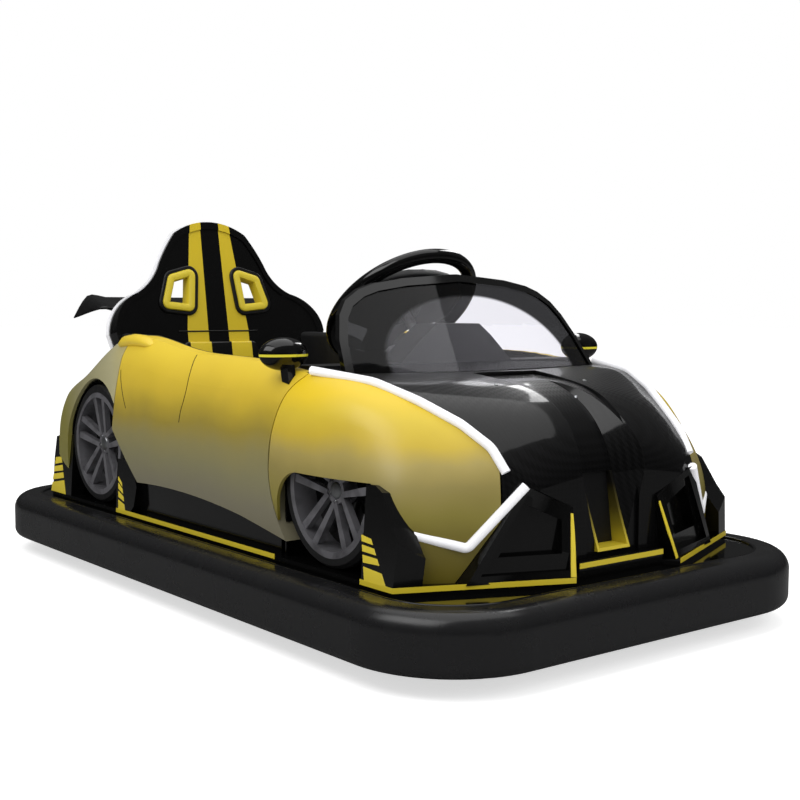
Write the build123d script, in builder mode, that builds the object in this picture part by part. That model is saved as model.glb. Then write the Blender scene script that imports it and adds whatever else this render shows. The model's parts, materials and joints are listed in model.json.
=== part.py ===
from build123d import *
import math
import os

# Battery bumper car, millimetres. +X is the car's front, +Y its left side, +Z up.
# The origin is on the floor, below the centre of the bumper ring.

# Bumper ring and deck
overall_length = 1950
overall_width = 1120
ring_bottom = 40
ring_top = 155
ring_width = 72
ring_corner = 226
ring_top_round = 38
ring_bottom_round = 22
fit_gap = 0.3
deck_top = 152
deck_thickness = 8
skirt_height = 16
skirt_top = deck_top + skirt_height
wall = 8
panel_gap = 3

# Body length stations shared by the panels
tail_x = -712
hood_back_x = 385
nose_x = 850
side_y = 475

# Cockpit
cockpit_back_x = -655
cockpit_half_width = 385
cockpit_overlap = 5
footwell_front_x = 430

# Dummy wheels: thin discs that stand in the black housings
disc_x = (540, -477)
disc_z = 318
disc_y = 470
disc_tyre_radius = 150
disc_rim_radius = 130
housing_depth = 64
housing_wall = 4
housing_setback = 12
disc_back_y = disc_y - housing_depth + housing_wall + fit_gap
front_housing_half = 155
arch_radius = 166
front_arch_start_x = 386
front_arch_end_x = 664
front_arch_top = 346
front_arch_round = 70

# Running gear
drive_x = 560
drive_radius = 100
drive_width = 56
drive_axle_radius = 10
drive_well_half = 128
deck_seam_x = 390
spindle_radius = 17.5
running_clearance = 0.05
fork_leg = 12
fork_side_gap = 8
crown_bottom = 212
crown_thickness = 12
bearing_bottom = 230
bearing_height = 70
rear_x = -480
rear_y = 330
rear_radius = 50
rear_width = 32
rear_axle_radius = 8
rear_plate = 6
rear_side_gap = 6
tube_size = 30
rail_y = 200
frame_back_x = -700
frame_front_x = 735

# Steering
wheel_centre = (184, 0, 666)
wheel_rim_radius = 175
wheel_tube_radius = 16.5
steering_lean = 47.6
shaft_radius = 11
boss_radius = 26

# Seat
seat_x = -645
seat_z = 521
seat_lean = 10
seat_thickness = 30
seat_wing = 38
bezel_width = 18
seat_light_size = 16
seat_box_x = (-645, -262)
seat_box_half = 205
seat_box_top = 330
box_wall = 6
belt_anchor = (-560, 255)
belt_hole_radius = 5.5
cushion_x = (-598, -252)
cushion_half = 200
cushion_height = 72

# Screen
screen_lean = 0.72
screen_foot_z = 510
screen_corner = (450, 358)
screen_bulge_x = 515
screen_thickness = 5
frame_depth = 14
frame_bar = 16

# Lights
tube_radius = 9

os.makedirs("parts", exist_ok=True)


def section_plane(x):
    """Plane across the car at x, local x along +Y and local y along +Z."""
    return Plane(origin=(x, 0, 0), x_dir=(0, 1, 0), z_dir=(1, 0, 0))


def side_plane(y):
    """Plane along the car at y, local x along +X and local y along +Z, facing the right side."""
    return Plane(origin=(0, y, 0), x_dir=(1, 0, 0), z_dir=(0, -1, 0))


def mirrored(part):
    """Left-hand copy of a right-hand piece."""
    with BuildPart() as copy_left:
        mirror(part, about=Plane.XZ)
    return copy_left.part


def largest(part, count):
    """The count largest solids of a piece, without the crumbs that its cuts leave."""
    with BuildPart() as kept:
        add(part.solids().sort_by(SortBy.VOLUME)[-count:])
    return kept.part


def save(part, label):
    """Label a finished piece and write its own file."""
    part.label = label
    export_step(part, "parts/" + label + ".step")


# Body sections. Each row is half of one cross section: the side arc runs from the base
# through mid to side, the shoulder arc from side to edge, the crown arc over the middle.
# columns: x, base_y, mid_y, mid_z, side_y, side_z, edge_y, edge_z, crown_z
body_sections = [
    (-770, 446, 456, 300, 440, 400, 404, 440, 446),
    (-660, 457, 469, 315, 452, 432, 410, 474, 482),
    (-560, 462, 475, 330, 457, 465, 415, 518, 526),
    (-440, 466, 479, 345, 461, 512, 420, 574, 582),
    (-312, 466, 481, 350, 463, 528, 422, 594, 602),
    (-100, 463, 482, 345, 463, 505, 418, 568, 578),
    (227, 462, 481, 338, 462, 490, 415, 553, 562),
    (400, 465, 479, 332, 458, 472, 408, 536, 545),
    (560, 467, 477, 325, 446, 452, 368, 521, 531),
    (641, 462, 467, 305, 424, 432, 338, 490, 521),
    (708, 446, 452, 285, 396, 388, 300, 460, 508),
    (777, 362, 366, 262, 340, 338, 270, 418, 472),
    (820, 292, 294, 250, 286, 316, 250, 380, 430),
    (nose_x, 222, 224, 250, 222, 300, 196, 335, 352),
]


def body_solid(inset):
    """Loft of the whole body, drawn in by inset on every side but the open base."""
    with BuildPart() as solid:
        for x, base_y, mid_y, mid_z, side_y_, side_z, edge_y, edge_z, crown_z in body_sections:
            end = x - inset if x == nose_x else x
            base_z = skirt_top if inset == 0 else deck_top - inset
            with BuildSketch(section_plane(end)):
                with BuildLine():
                    base = (base_y - inset, base_z)
                    mid = (mid_y - inset, mid_z)
                    side = (side_y_ - inset, side_z - 0.3 * inset)
                    edge = (edge_y - 0.5 * inset, edge_z - inset)
                    right = ThreePointArc(base, mid, side)
                    TangentArc(side, edge, tangent=right % 1)
                    ThreePointArc(edge, (0, crown_z - inset), (-edge[0], edge[1]))
                    heading = right % 1
                    TangentArc((-side[0], side[1]), (-edge[0], edge[1]), tangent=(-heading.X, heading.Y))
                    ThreePointArc((-base[0], base[1]), (-mid[0], mid[1]), (-side[0], side[1]))
                    Line((-base[0], base[1]), base)
                make_face()
        loft()
    return solid.part


def rear_profile(inset):
    """Side outline of the body, which rounds off the tail, drawn in by inset."""
    with BuildPart() as block:
        with BuildSketch(side_plane(0)):
            with BuildLine():
                foot = (tail_x + inset, deck_top - wall)
                knee = (tail_x + inset, 330)
                shoulder = (-620, 478 - inset)
                top = (-470, 620)
                Line(foot, knee)
                ThreePointArc(knee, (-686 + inset, 428 - 0.5 * inset), shoulder)
                ThreePointArc(shoulder, (-540, 528 - inset), top)
                Line(top, (overall_length, 620))
                Line((overall_length, 620), (overall_length, deck_top - wall))
                Line((overall_length, deck_top - wall), foot)
            make_face()
        extrude(amount=overall_width, both=True)
    return block.part


outer_loft = body_solid(0)
inner_loft = body_solid(wall)
clear_loft = body_solid(-fit_gap)
disc_space = body_solid(wall + fit_gap)

with BuildPart() as outer_body:
    add(outer_loft)
    add(rear_profile(0), mode=Mode.INTERSECT)

with BuildPart() as cockpit_void:
    with BuildSketch(Plane.XY.offset(deck_top - wall)):
        with Locations(((cockpit_back_x + hood_back_x) / 2, 0)):
            RectangleRounded(hood_back_x - cockpit_back_x, 2 * cockpit_half_width, 40)
    extrude(amount=overall_width)

# Stations of the side panel's outline, seen from the side: x, z
side_top_z = 640
side_rear_top = (-330, side_top_z)
side_rear_foot = (-358, 366)
side_heel = (-231, 246)
side_middle = (-11, 250)
side_fall = (239, 230)
side_toe = (412, 200)
side_front_mid = (352, 391)
side_front_top = (398, 529)


def side_region(grow):
    """Prism of the side panel's outline over the whole width, grown by grow."""
    with BuildPart() as block:
        with BuildSketch(side_plane(0)):
            with BuildLine():
                Line(side_rear_top, side_rear_foot)
                Line(side_rear_foot, side_heel)
                ThreePointArc(side_heel, side_middle, side_fall)
                Line(side_fall, side_toe)
                ThreePointArc(side_toe, side_front_mid, side_front_top)
                Line(side_front_top, (side_front_top[0], side_top_z))
                Line((side_front_top[0], side_top_z), side_rear_top)
            make_face()
            offset(amount=grow, kind=Kind.INTERSECTION)
        extrude(amount=overall_width, both=True)
    return block.part


side_room = side_region(panel_gap / 2)

# Plan line between hood and fender: x, y of the right side
edge_line = [(x, -edge_y) for x, _, _, _, _, _, edge_y, _, _ in body_sections if 400 <= x <= 777]
edge_line_front = [(812, -268), (838, -284), (overall_length / 2, -284)]
hood_gap_line = [(hood_back_x - panel_gap, edge_line[0][1])] + edge_line + edge_line_front


def hood_region(grow):
    """Plan prism of the hood, from one light line to the other, grown by grow."""
    with BuildPart() as block:
        with BuildSketch(Plane.XY.offset(deck_top - wall)):
            with BuildLine():
                Polyline(*hood_gap_line, *[(x, -y) for x, y in reversed(hood_gap_line)], close=True)
            make_face()
            if grow:
                offset(amount=grow, kind=Kind.INTERSECTION)
        extrude(amount=overall_width)
    return block.part


# Pod corners on the right side: x, y at the foot and at the head. The top slants from the
# tip, where the corner light ends, down to the shoulder at the inner edge.
pod_back_x = 725
pod_inner_foot = (890, -142)
pod_outer_foot = (815, -350)
pod_inner_head = (842, -112)
pod_tip = (850, -238)
pod_tip_z = 345
pod_shoulder_z = 292
pod_reach = 80


def pod_block(grow, reach):
    """Faceted corner block of the right side, grown sideways by grow and forwards by reach."""
    rows = (
        (skirt_top, pod_inner_foot, pod_outer_foot),
        (pod_tip_z + grow, pod_inner_head, pod_tip),
    )
    with BuildPart() as block:
        for height, inner, outer in rows:
            with BuildSketch(Plane.XY.offset(height)):
                Polygon(
                    (pod_back_x, inner[1]),
                    (inner[0] + reach, inner[1]),
                    (outer[0] + reach, outer[1]),
                    (pod_back_x, outer[1]),
                    align=None,
                )
                if grow:
                    offset(amount=grow, kind=Kind.INTERSECTION)
        loft(ruled=True)
        with BuildSketch(section_plane(pod_back_x - grow)):
            Polygon(
                (pod_inner_head[1] + wall, pod_shoulder_z + grow),
                (pod_inner_head[1], pod_shoulder_z + grow),
                (pod_tip[1], pod_tip_z + grow),
                (pod_tip[1], 2 * pod_tip_z),
                (pod_inner_head[1] + wall, 2 * pod_tip_z),
                align=None,
            )
        extrude(amount=overall_width, mode=Mode.SUBTRACT)
    return block.part


pod_room = pod_block(panel_gap / 3, pod_reach)


def tube_run(points, bends, radius):
    """Round tube along straight runs joined by arcs."""
    with BuildPart() as tube:
        with BuildLine() as path:
            FilletPolyline(*points, radius=bends)
        with BuildSketch(Plane(origin=path.line @ 0, z_dir=path.line % 0)):
            Circle(radius)
        sweep()
    return tube.part


# Light tube routes on the right side: x, y, z
fender_light = [
    (412, -412, 542),
    (560, -368, 525),
    (650, -332, 493),
    (730, -292, 452),
    (790, -270, 412),
    (822, -262, 368),
]
fender_light_bends = [120, 120, 120, 60]
corner_light = [(716, -450, 268), (798, -334, 232), (850, -238, 345)]
corner_light_bends = [14]

with BuildPart() as light_grooves:
    add(tube_run(fender_light, fender_light_bends, tube_radius + fit_gap))
    add(tube_run(corner_light, corner_light_bends, tube_radius + fit_gap))
    mirror(about=Plane.XZ)

with BuildPart() as front_arch:
    with BuildSketch(side_plane(0)):
        with BuildLine():
            Line((front_arch_start_x, 0), (front_arch_start_x, front_arch_top - front_arch_round))
            RadiusArc(
                (front_arch_start_x, front_arch_top - front_arch_round),
                (front_arch_start_x + front_arch_round, front_arch_top),
                front_arch_round,
            )
            Line(
                (front_arch_start_x + front_arch_round, front_arch_top),
                (front_arch_end_x, front_arch_top),
            )
            Line((front_arch_end_x, front_arch_top), (front_arch_end_x, 0))
            Line((front_arch_end_x, 0), (front_arch_start_x, 0))
        make_face()
    extrude(amount=overall_width)

# Foot of the body on the deck
skirt_tail_x = -765
skirt_corner_x = 758
skirt_nose = (895, 150)
skirt_front = (874, 120)
skirt_border = 90
sill_y = 452
skirt_outline = [
    (skirt_tail_x, -side_y + 35),
    (skirt_tail_x + 30, -side_y),
    (skirt_corner_x, -side_y),
    (skirt_nose[0], -skirt_nose[1]),
    (skirt_front[0], -skirt_front[1]),
]


def skirt_block(bottom, height):
    """Prism of the foot's outline, up from bottom by height."""
    with BuildPart() as block:
        with BuildSketch(Plane.XY.offset(bottom)):
            with BuildLine():
                Polyline(*skirt_outline, *[(x, -y) for x, y in reversed(skirt_outline)], close=True)
            make_face()
        extrude(amount=height)
    return block.part


# Fins beside the dummy wheels. Their outer faces lean in with the body's sides.
# columns: outline as x and the height up the leaning face, thickness
fin_lean = 6.3
fin_foot = -12
fin_outlines = [
    ([(-748, fin_foot), (-741, 147), (-708, 155), (-634, 160), (-616, fin_foot)], 35),
    (
        [
            (-347, fin_foot), (-361, 75), (-371, 171), (-326, 135), (-279, 105), (-252, 65), (-258, 17),
            (-290, fin_foot),
        ],
        23,
    ),
    (
        [
            (664, fin_foot), (653, 177), (681, 178), (703, 167), (740, 109), (774, 67), (814, 28),
            (820, fin_foot),
        ],
        50,
    ),
]


def fin_plane(depth):
    """Plane of the right fins' outer faces, moved inwards by depth."""
    lean = math.radians(fin_lean)
    face = Plane(
        origin=(0, -side_y, skirt_top),
        x_dir=(1, 0, 0),
        z_dir=(0, -math.cos(lean), math.sin(lean)),
    )
    return face.offset(-depth)


def fin_blocks(grow):
    """The three fins of the right side, grown by grow on the sides that meet the panels."""
    with BuildPart() as blocks:
        for outline, thickness in fin_outlines:
            with BuildSketch(fin_plane(thickness + grow)):
                Polygon(*outline, align=None)
                if grow:
                    offset(amount=grow, kind=Kind.INTERSECTION)
            extrude(amount=thickness + 4 * grow)
        if not grow:
            add(skirt_block(skirt_top, overall_width), mode=Mode.INTERSECT)
    return blocks.part


fin_room = fin_blocks(fit_gap)

with BuildPart() as lights_right:
    add(tube_run(fender_light, fender_light_bends, tube_radius))
    add(tube_run(corner_light, corner_light_bends, tube_radius))
    add(fin_room, mode=Mode.SUBTRACT)

# Valley along the middle of the hood: a shallow band between two creases and, in its middle,
# a scoop that deepens towards the grille and opens out upwards. Side lines: x, z
band_line = [(534, 525), (641, 514.5), (708, 499), (777, 461), (820, 418), (843, 352)]
band_foot = (844, 168)
band_rear_half = 92
band_front_half = 74
scoop_line = [(572, 524), (660, 505), (735, 462), (782, 402), (799, 340)]
scoop_foot = (854, 190)
scoop_half = 46
scoop_flare = 50
scoop_flare_width = 44
valley_floor_line = [
    (526, 517),
    (575, 513),
    (657, 496),
    (729, 455),
    (774, 399),
    (791, 338),
    (848, 182),
]
valley_front_x = 1000
valley_ceiling = 640


def valley_side(line, foot, plane):
    """Face in front of and above a side line, down to its foot."""
    with BuildSketch(plane) as side:
        with BuildLine():
            Spline(*line)
            Polyline(
                line[-1],
                foot,
                (valley_front_x, foot[1]),
                (valley_front_x, valley_ceiling),
                (line[0][0], valley_ceiling),
                line[0],
            )
        make_face()
    return side.sketch


def valley_block():
    """Body of the valley that is cut out of the hood's outside."""
    with BuildPart() as block:
        extrude(valley_side(band_line, band_foot, side_plane(band_rear_half)), 2 * band_rear_half)
        with BuildSketch(Plane.XY.offset(deck_top)):
            Polygon(
                (band_line[0][0] - 2 * wall, -band_rear_half),
                (nose_x, -band_front_half),
                (valley_front_x + wall, -band_front_half),
                (valley_front_x + wall, band_front_half),
                (nose_x, band_front_half),
                (band_line[0][0] - 2 * wall, band_rear_half),
                align=None,
            )
        extrude(amount=overall_width, mode=Mode.INTERSECT)
        extrude(valley_side(scoop_line, scoop_foot, side_plane(scoop_half)), 2 * scoop_half)
        flare = extrude(
            valley_side(scoop_line, scoop_foot, side_plane(-scoop_half)),
            scoop_flare_width,
            taper=scoop_flare,
        )
        mirror(flare, about=Plane.XZ)
    return block.part


def valley_floor_block():
    """Body of the valley with the wall under its floor, left out of the hood's inside."""
    half = band_rear_half + wall
    with BuildPart() as block:
        with BuildSketch(side_plane(half)):
            Polygon(
                *valley_floor_line,
                (valley_front_x, valley_floor_line[-1][1]),
                (valley_front_x, valley_ceiling),
                (valley_floor_line[0][0], valley_ceiling),
                align=None,
            )
        extrude(amount=2 * half)
    return block.part


# Grille: a wedge-shaped pocket in the valley, deep at its sill and shallow at its top.
# Side outline: x, z, from the sill's front edge up the open face and down the back
grille_half = 46
grille_wall = 6
grille_sill_z = 200
grille_top_z = 346
grille_side = [
    (853, grille_sill_z),
    (825, 273),
    (801, grille_top_z),
    (780, grille_top_z),
    (796, grille_sill_z),
]
grille_panel_foot_x = 811
grille_panel_head_x = 792
grille_panel_thickness = 8

# Hood: hollow shell between the two light lines
with BuildPart() as hood:
    add(outer_loft)
    add(valley_block(), mode=Mode.SUBTRACT)
    with BuildPart(mode=Mode.PRIVATE) as hood_inside:
        add(inner_loft)
        add(valley_floor_block(), mode=Mode.SUBTRACT)
    add(hood_inside.part, mode=Mode.SUBTRACT)
    add(hood_region(-panel_gap / 2), mode=Mode.INTERSECT)
    with BuildSketch(Plane.XY.offset(deck_top - wall)):
        with Locations((hood_back_x - overall_length / 2, 0)):
            Rectangle(overall_length, 2 * overall_width)
    extrude(amount=overall_width, mode=Mode.SUBTRACT)
    add(pod_room, mode=Mode.SUBTRACT)
    add(mirror(pod_room, about=Plane.XZ, mode=Mode.PRIVATE), mode=Mode.SUBTRACT)
    add(light_grooves.part, mode=Mode.SUBTRACT)
    with BuildSketch(side_plane(grille_half + fit_gap)):
        Polygon(*grille_side, align=None)
        offset(amount=fit_gap, kind=Kind.INTERSECTION)
    extrude(amount=2 * (grille_half + fit_gap), mode=Mode.SUBTRACT)
save(largest(hood.part, 1), "hood")

# Front fenders
with BuildPart() as fender_right:
    add(outer_loft)
    add(inner_loft, mode=Mode.SUBTRACT)
    add(hood_region(panel_gap / 2), mode=Mode.SUBTRACT)
    add(side_room, mode=Mode.SUBTRACT)
    with BuildSketch(Plane.XY):
        with Locations((side_front_mid[0] + panel_gap - overall_length / 2, 0)):
            Rectangle(overall_length, 2 * overall_width)
        with Locations((0, overall_width / 2)):
            Rectangle(2 * overall_length, overall_width)
    extrude(amount=overall_width, mode=Mode.SUBTRACT)
    add(front_arch.part, mode=Mode.SUBTRACT)
    add(pod_room, mode=Mode.SUBTRACT)
    add(light_grooves.part, mode=Mode.SUBTRACT)
    add(fin_room, mode=Mode.SUBTRACT)
save(largest(fender_right.part, 2), "front_fender_right")
save(mirrored(largest(fender_right.part, 2)), "front_fender_left")

# Side panels: as thick as the whole wall
with BuildPart() as side_right:
    add(outer_body.part)
    add(side_region(-panel_gap / 2), mode=Mode.INTERSECT)
    add(cockpit_void.part, mode=Mode.SUBTRACT)
    with BuildSketch(Plane.XY):
        with Locations((0, overall_width / 2 - cockpit_half_width + cockpit_overlap)):
            Rectangle(2 * overall_length, overall_width)
    extrude(amount=overall_width, mode=Mode.SUBTRACT)
    add(light_grooves.part, mode=Mode.SUBTRACT)
    add(hood_region(0), mode=Mode.SUBTRACT)
save(side_right.part, "side_panel_right")
save(mirrored(side_right.part), "side_panel_left")

# Rear quarters, closed behind the side panels, with the cavity for the dummy wheel
with BuildPart() as quarter_right:
    add(outer_body.part)
    add(side_room, mode=Mode.SUBTRACT)
    add(cockpit_void.part, mode=Mode.SUBTRACT)
    with BuildSketch(Plane.XY):
        with Locations((side_rear_top[0] - panel_gap / 2 + overall_length / 2, 0)):
            Rectangle(overall_length, 2 * overall_width)
        with Locations((0, overall_width / 2 - cockpit_half_width + cockpit_overlap)):
            Rectangle(2 * overall_length, overall_width)
    extrude(amount=overall_width, mode=Mode.SUBTRACT)
    with BuildSketch(side_plane(-disc_y + housing_depth)):
        with Locations((disc_x[1], disc_z)):
            Circle(arch_radius)
        with Locations((disc_x[1], disc_z / 2)):
            Rectangle(2 * arch_radius, disc_z)
    extrude(amount=overall_width, mode=Mode.SUBTRACT)
    add(fin_room, mode=Mode.SUBTRACT)
save(quarter_right.part, "rear_quarter_right")
save(mirrored(quarter_right.part), "rear_quarter_left")

# Tail panel between the quarters: thin, open to the front
tail_front_x = -668
charge_z = 250
charge_radius = 14
with BuildPart() as tail_panel:
    add(outer_body.part)
    with BuildPart(mode=Mode.PRIVATE) as tail_inside:
        add(inner_loft)
        add(rear_profile(wall), mode=Mode.INTERSECT)
    add(tail_inside.part, mode=Mode.SUBTRACT)
    with BuildSketch(Plane.XY.offset(deck_top - wall)):
        with Locations(((tail_front_x - overall_length) / 2, 0)):
            Rectangle(
                tail_front_x + overall_length,
                2 * (cockpit_half_width - cockpit_overlap - panel_gap),
            )
    extrude(amount=overall_width, mode=Mode.INTERSECT)
    with BuildSketch(section_plane(tail_x)):
        with Locations((0, charge_z)):
            Circle(charge_radius)
    extrude(amount=wall, mode=Mode.SUBTRACT)
save(tail_panel.part, "tail_panel")

# Tail lamps: slim bars on the flat of the tail
lamp_y = 255
lamp_z = 292
lamp_size = (170, 34, 12)
with BuildPart() as tail_lamps:
    with BuildSketch(Plane(origin=(tail_x, 0, lamp_z), x_dir=(0, -1, 0), z_dir=(-1, 0, 0))):
        with Locations((-lamp_y, 0), (lamp_y, 0)):
            RectangleRounded(lamp_size[0], lamp_size[1], lamp_size[1] / 2 - 1)
    extrude(amount=lamp_size[2])
    chamfer(tail_lamps.faces().sort_by(Axis.X)[0:2].edges(), 3)
save(tail_lamps.part, "tail_lamps")

# Bumper ring
with BuildPart() as bumper_ring:
    with BuildSketch(Plane.XY.offset(ring_bottom)):
        RectangleRounded(overall_length, overall_width, ring_corner)
        RectangleRounded(
            overall_length - 2 * ring_width,
            overall_width - 2 * ring_width,
            ring_corner - ring_width,
            mode=Mode.SUBTRACT,
        )
    extrude(amount=ring_top - ring_bottom)
    top_edges = bumper_ring.faces().sort_by(Axis.Z)[-1].outer_wire().edges()
    fillet(top_edges, ring_top_round)
    bottom_edges = bumper_ring.faces().sort_by(Axis.Z)[0].outer_wire().edges()
    fillet(bottom_edges, ring_bottom_round)
save(bumper_ring.part, "bumper_ring")

# Deck: two plates inside the ring that meet over a cross member. The rear one has the belt
# anchor holes, the front one the well of the drive wheel.
ring_inner = (overall_length - 2 * ring_width, overall_width - 2 * ring_width)


def deck_plate(start_x, end_x):
    """The part of the deck between two stations."""
    with BuildPart() as plate:
        with BuildSketch(Plane.XY.offset(deck_top - deck_thickness)):
            RectangleRounded(
                ring_inner[0] - 2 * fit_gap,
                ring_inner[1] - 2 * fit_gap,
                ring_corner - ring_width - fit_gap,
            )
            with Locations(((start_x + end_x) / 2, 0)):
                Rectangle(end_x - start_x, overall_width, mode=Mode.INTERSECT)
        extrude(amount=deck_thickness)
    return plate.part


with BuildPart() as deck:
    add(deck_plate(-overall_length / 2, deck_seam_x - fit_gap / 2))
    with BuildSketch(Plane.XY.offset(deck_top - deck_thickness)):
        with Locations((belt_anchor[0], -belt_anchor[1]), belt_anchor):
            Circle(belt_hole_radius)
    extrude(amount=deck_thickness, mode=Mode.SUBTRACT)
save(deck.part, "deck")

with BuildPart() as deck_front:
    add(deck_plate(deck_seam_x + fit_gap / 2, overall_length / 2))
    with BuildSketch(Plane.XY.offset(deck_top - deck_thickness)):
        with Locations((drive_x, 0)):
            Rectangle(2 * drive_well_half, 2 * drive_well_half)
    extrude(amount=deck_thickness, mode=Mode.SUBTRACT)
save(deck_front.part, "deck_front")

# Base skirt with sills and dummy wheel housings
def housing(centre_x, half_length, top):
    """Box open to the side that a dummy wheel stands in, on the right side."""
    inner_y = disc_y - housing_depth
    with BuildPart() as box:
        with BuildSketch(side_plane(-inner_y - fit_gap)):
            with BuildLine():
                start = (centre_x - half_length, skirt_top)
                end = (centre_x + half_length, skirt_top)
                Line(start, (start[0], top - half_length))
                ThreePointArc((start[0], top - half_length), (centre_x, top), (end[0], top - half_length))
                Line((end[0], top - half_length), end)
                Line(end, start)
            make_face()
        extrude(amount=housing_depth - housing_setback)
        with BuildSketch(side_plane(-inner_y - fit_gap - housing_wall)):
            with BuildLine():
                left = centre_x - half_length + housing_wall
                right = centre_x + half_length - housing_wall
                crown = top - housing_wall
                bend = top - half_length
                Line((left, skirt_top), (left, bend))
                ThreePointArc((left, bend), (centre_x, crown), (right, bend))
                Line((right, bend), (right, skirt_top))
                Line((right, skirt_top), (left, skirt_top))
            make_face()
        extrude(amount=housing_depth, mode=Mode.SUBTRACT)
        add(disc_space, mode=Mode.INTERSECT)
        add(side_room, mode=Mode.SUBTRACT)
        add(fin_room, mode=Mode.SUBTRACT)
    return box.part


sill_rear_x = side_heel[0] - 66
heel_slope = (side_rear_foot[1] - side_heel[1]) / (side_heel[0] - side_rear_foot[0])
sill_rear_z = side_heel[1] + heel_slope * (side_heel[0] - sill_rear_x)
sill_front_x = 360
with BuildPart() as sill_right:
    with BuildSketch(side_plane(-cockpit_half_width)):
        with BuildLine():
            Polyline((sill_rear_x, skirt_top), (sill_rear_x, sill_rear_z), side_heel)
            ThreePointArc(side_heel, side_middle, side_fall)
            Polyline(side_fall, (sill_front_x, 208), (sill_front_x, skirt_top), (sill_rear_x, skirt_top))
        make_face()
        offset(amount=panel_gap / 2, kind=Kind.INTERSECTION)
    extrude(amount=sill_y - cockpit_half_width)
    add(side_region(fit_gap - panel_gap / 2), mode=Mode.SUBTRACT)
    add(fin_room, mode=Mode.SUBTRACT)
    with BuildSketch(Plane.XY):
        Rectangle(2 * overall_length, overall_width)
    extrude(amount=skirt_top, mode=Mode.SUBTRACT)
sill = sill_right.part

# Chin between the pods, below the grille
chin_top = 192
chin_half = 136
skirt_hole_back_x = tail_x + 22
skirt_hole_front_x = skirt_corner_x - 60
with BuildPart() as base_skirt:
    add(skirt_block(deck_top, skirt_height))
    with BuildSketch(Plane.XY.offset(skirt_top)):
        Polygon(
            (nose_x + fit_gap, -chin_half),
            (skirt_front[0], -skirt_front[1]),
            skirt_front,
            (nose_x + fit_gap, chin_half),
            align=None,
        )
    extrude(amount=chin_top - skirt_top)
    with BuildSketch(Plane.XY.offset(deck_top)):
        with Locations(((skirt_hole_back_x + skirt_hole_front_x) / 2, 0)):
            Rectangle(skirt_hole_front_x - skirt_hole_back_x, 2 * (side_y - skirt_border))
    extrude(amount=skirt_height, mode=Mode.SUBTRACT)
    housing_top = disc_z + arch_radius - fit_gap
    rear_house = housing(disc_x[1], arch_radius - fit_gap, housing_top)
    front_house = housing(disc_x[0], front_housing_half, disc_z + front_housing_half)
    add(rear_house)
    add(front_house)
    mirror(rear_house, about=Plane.XZ)
    mirror(front_house, about=Plane.XZ)
    add(sill)
    mirror(sill, about=Plane.XZ)
save(base_skirt.part, "base_skirt")

# Fins
fins_right = fin_blocks(0)
save(fins_right, "fins_right")
save(mirrored(fins_right), "fins_left")

# Dummy wheels: a rim with five split spokes that dish towards the hub, and a tyre
spoke_count = 5
spoke_split = 13
spoke_root_width = 11
spoke_tip_width = 17
spoke_tip_spread = 24
spoke_thickness = 14
rim_lip = 13
rim_front = 8
hub_radius = 27
hub_front = 26
rim_depth = housing_depth - housing_wall
spoke_root_radius = hub_radius - 6
spoke_tip_radius = disc_rim_radius - rim_lip / 2
with BuildPart() as rim:
    with BuildSketch(side_plane(-disc_back_y)):
        Circle(disc_rim_radius)
        Circle(disc_rim_radius - rim_lip, mode=Mode.SUBTRACT)
    extrude(amount=rim_depth - rim_front)
    with BuildSketch(side_plane(-disc_back_y)):
        Circle(hub_radius)
    extrude(amount=rim_depth - hub_front)
    with BuildPart(mode=Mode.PRIVATE) as spokes:
        with BuildSketch(side_plane(-disc_back_y)):
            with PolarLocations(0, spoke_count, start_angle=90):
                for side in (-1, 1):
                    root = side * spoke_split
                    tip = side * spoke_tip_spread
                    Polygon(
                        (spoke_root_radius, root - spoke_root_width / 2),
                        (spoke_tip_radius, tip - spoke_tip_width / 2),
                        (spoke_tip_radius, tip + spoke_tip_width / 2),
                        (spoke_root_radius, root + spoke_root_width / 2),
                        align=None,
                    )
        extrude(amount=rim_depth)
        with BuildSketch(Plane(origin=(0, -disc_back_y, 0), x_dir=(1, 0, 0), z_dir=(0, 0, 1))):
            Polygon(
                (0, hub_front + spoke_thickness - rim_depth),
                (0, hub_front - rim_depth),
                (disc_rim_radius, rim_front + 2 - rim_depth),
                (disc_rim_radius, rim_front + 2 + spoke_thickness - rim_depth),
                align=None,
            )
        revolve(axis=Axis.Y, mode=Mode.INTERSECT)
    add(spokes.part)
with BuildPart() as tyre_ring:
    with BuildSketch(side_plane(-disc_back_y)):
        Circle(disc_tyre_radius)
        Circle(disc_rim_radius + fit_gap, mode=Mode.SUBTRACT)
    extrude(amount=rim_depth - rim_front)
    front_edges = tyre_ring.edges().filter_by(GeomType.CIRCLE).group_by(Axis.Y)[0]
    chamfer(front_edges.sort_by(SortBy.RADIUS)[-1], 9, 7)


def four_places(piece):
    """The right-hand wheel piece at both stations, trimmed inside the skin, on both sides."""
    with BuildPart() as group:
        for x in disc_x:
            add(piece.moved(Location((x, 0, disc_z))))
        add(disc_space, mode=Mode.INTERSECT)
        add(side_room, mode=Mode.SUBTRACT)
        add(fin_room, mode=Mode.SUBTRACT)
        mirror(about=Plane.XZ)
    return group.part


rims = four_places(rim.part)
tyres = four_places(tyre_ring.part)
save(rims, "dummy_rims")
save(tyres, "dummy_tyres")

# Light tubes
save(lights_right.part, "light_tubes_right")
save(mirrored(lights_right.part), "light_tubes_left")

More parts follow.
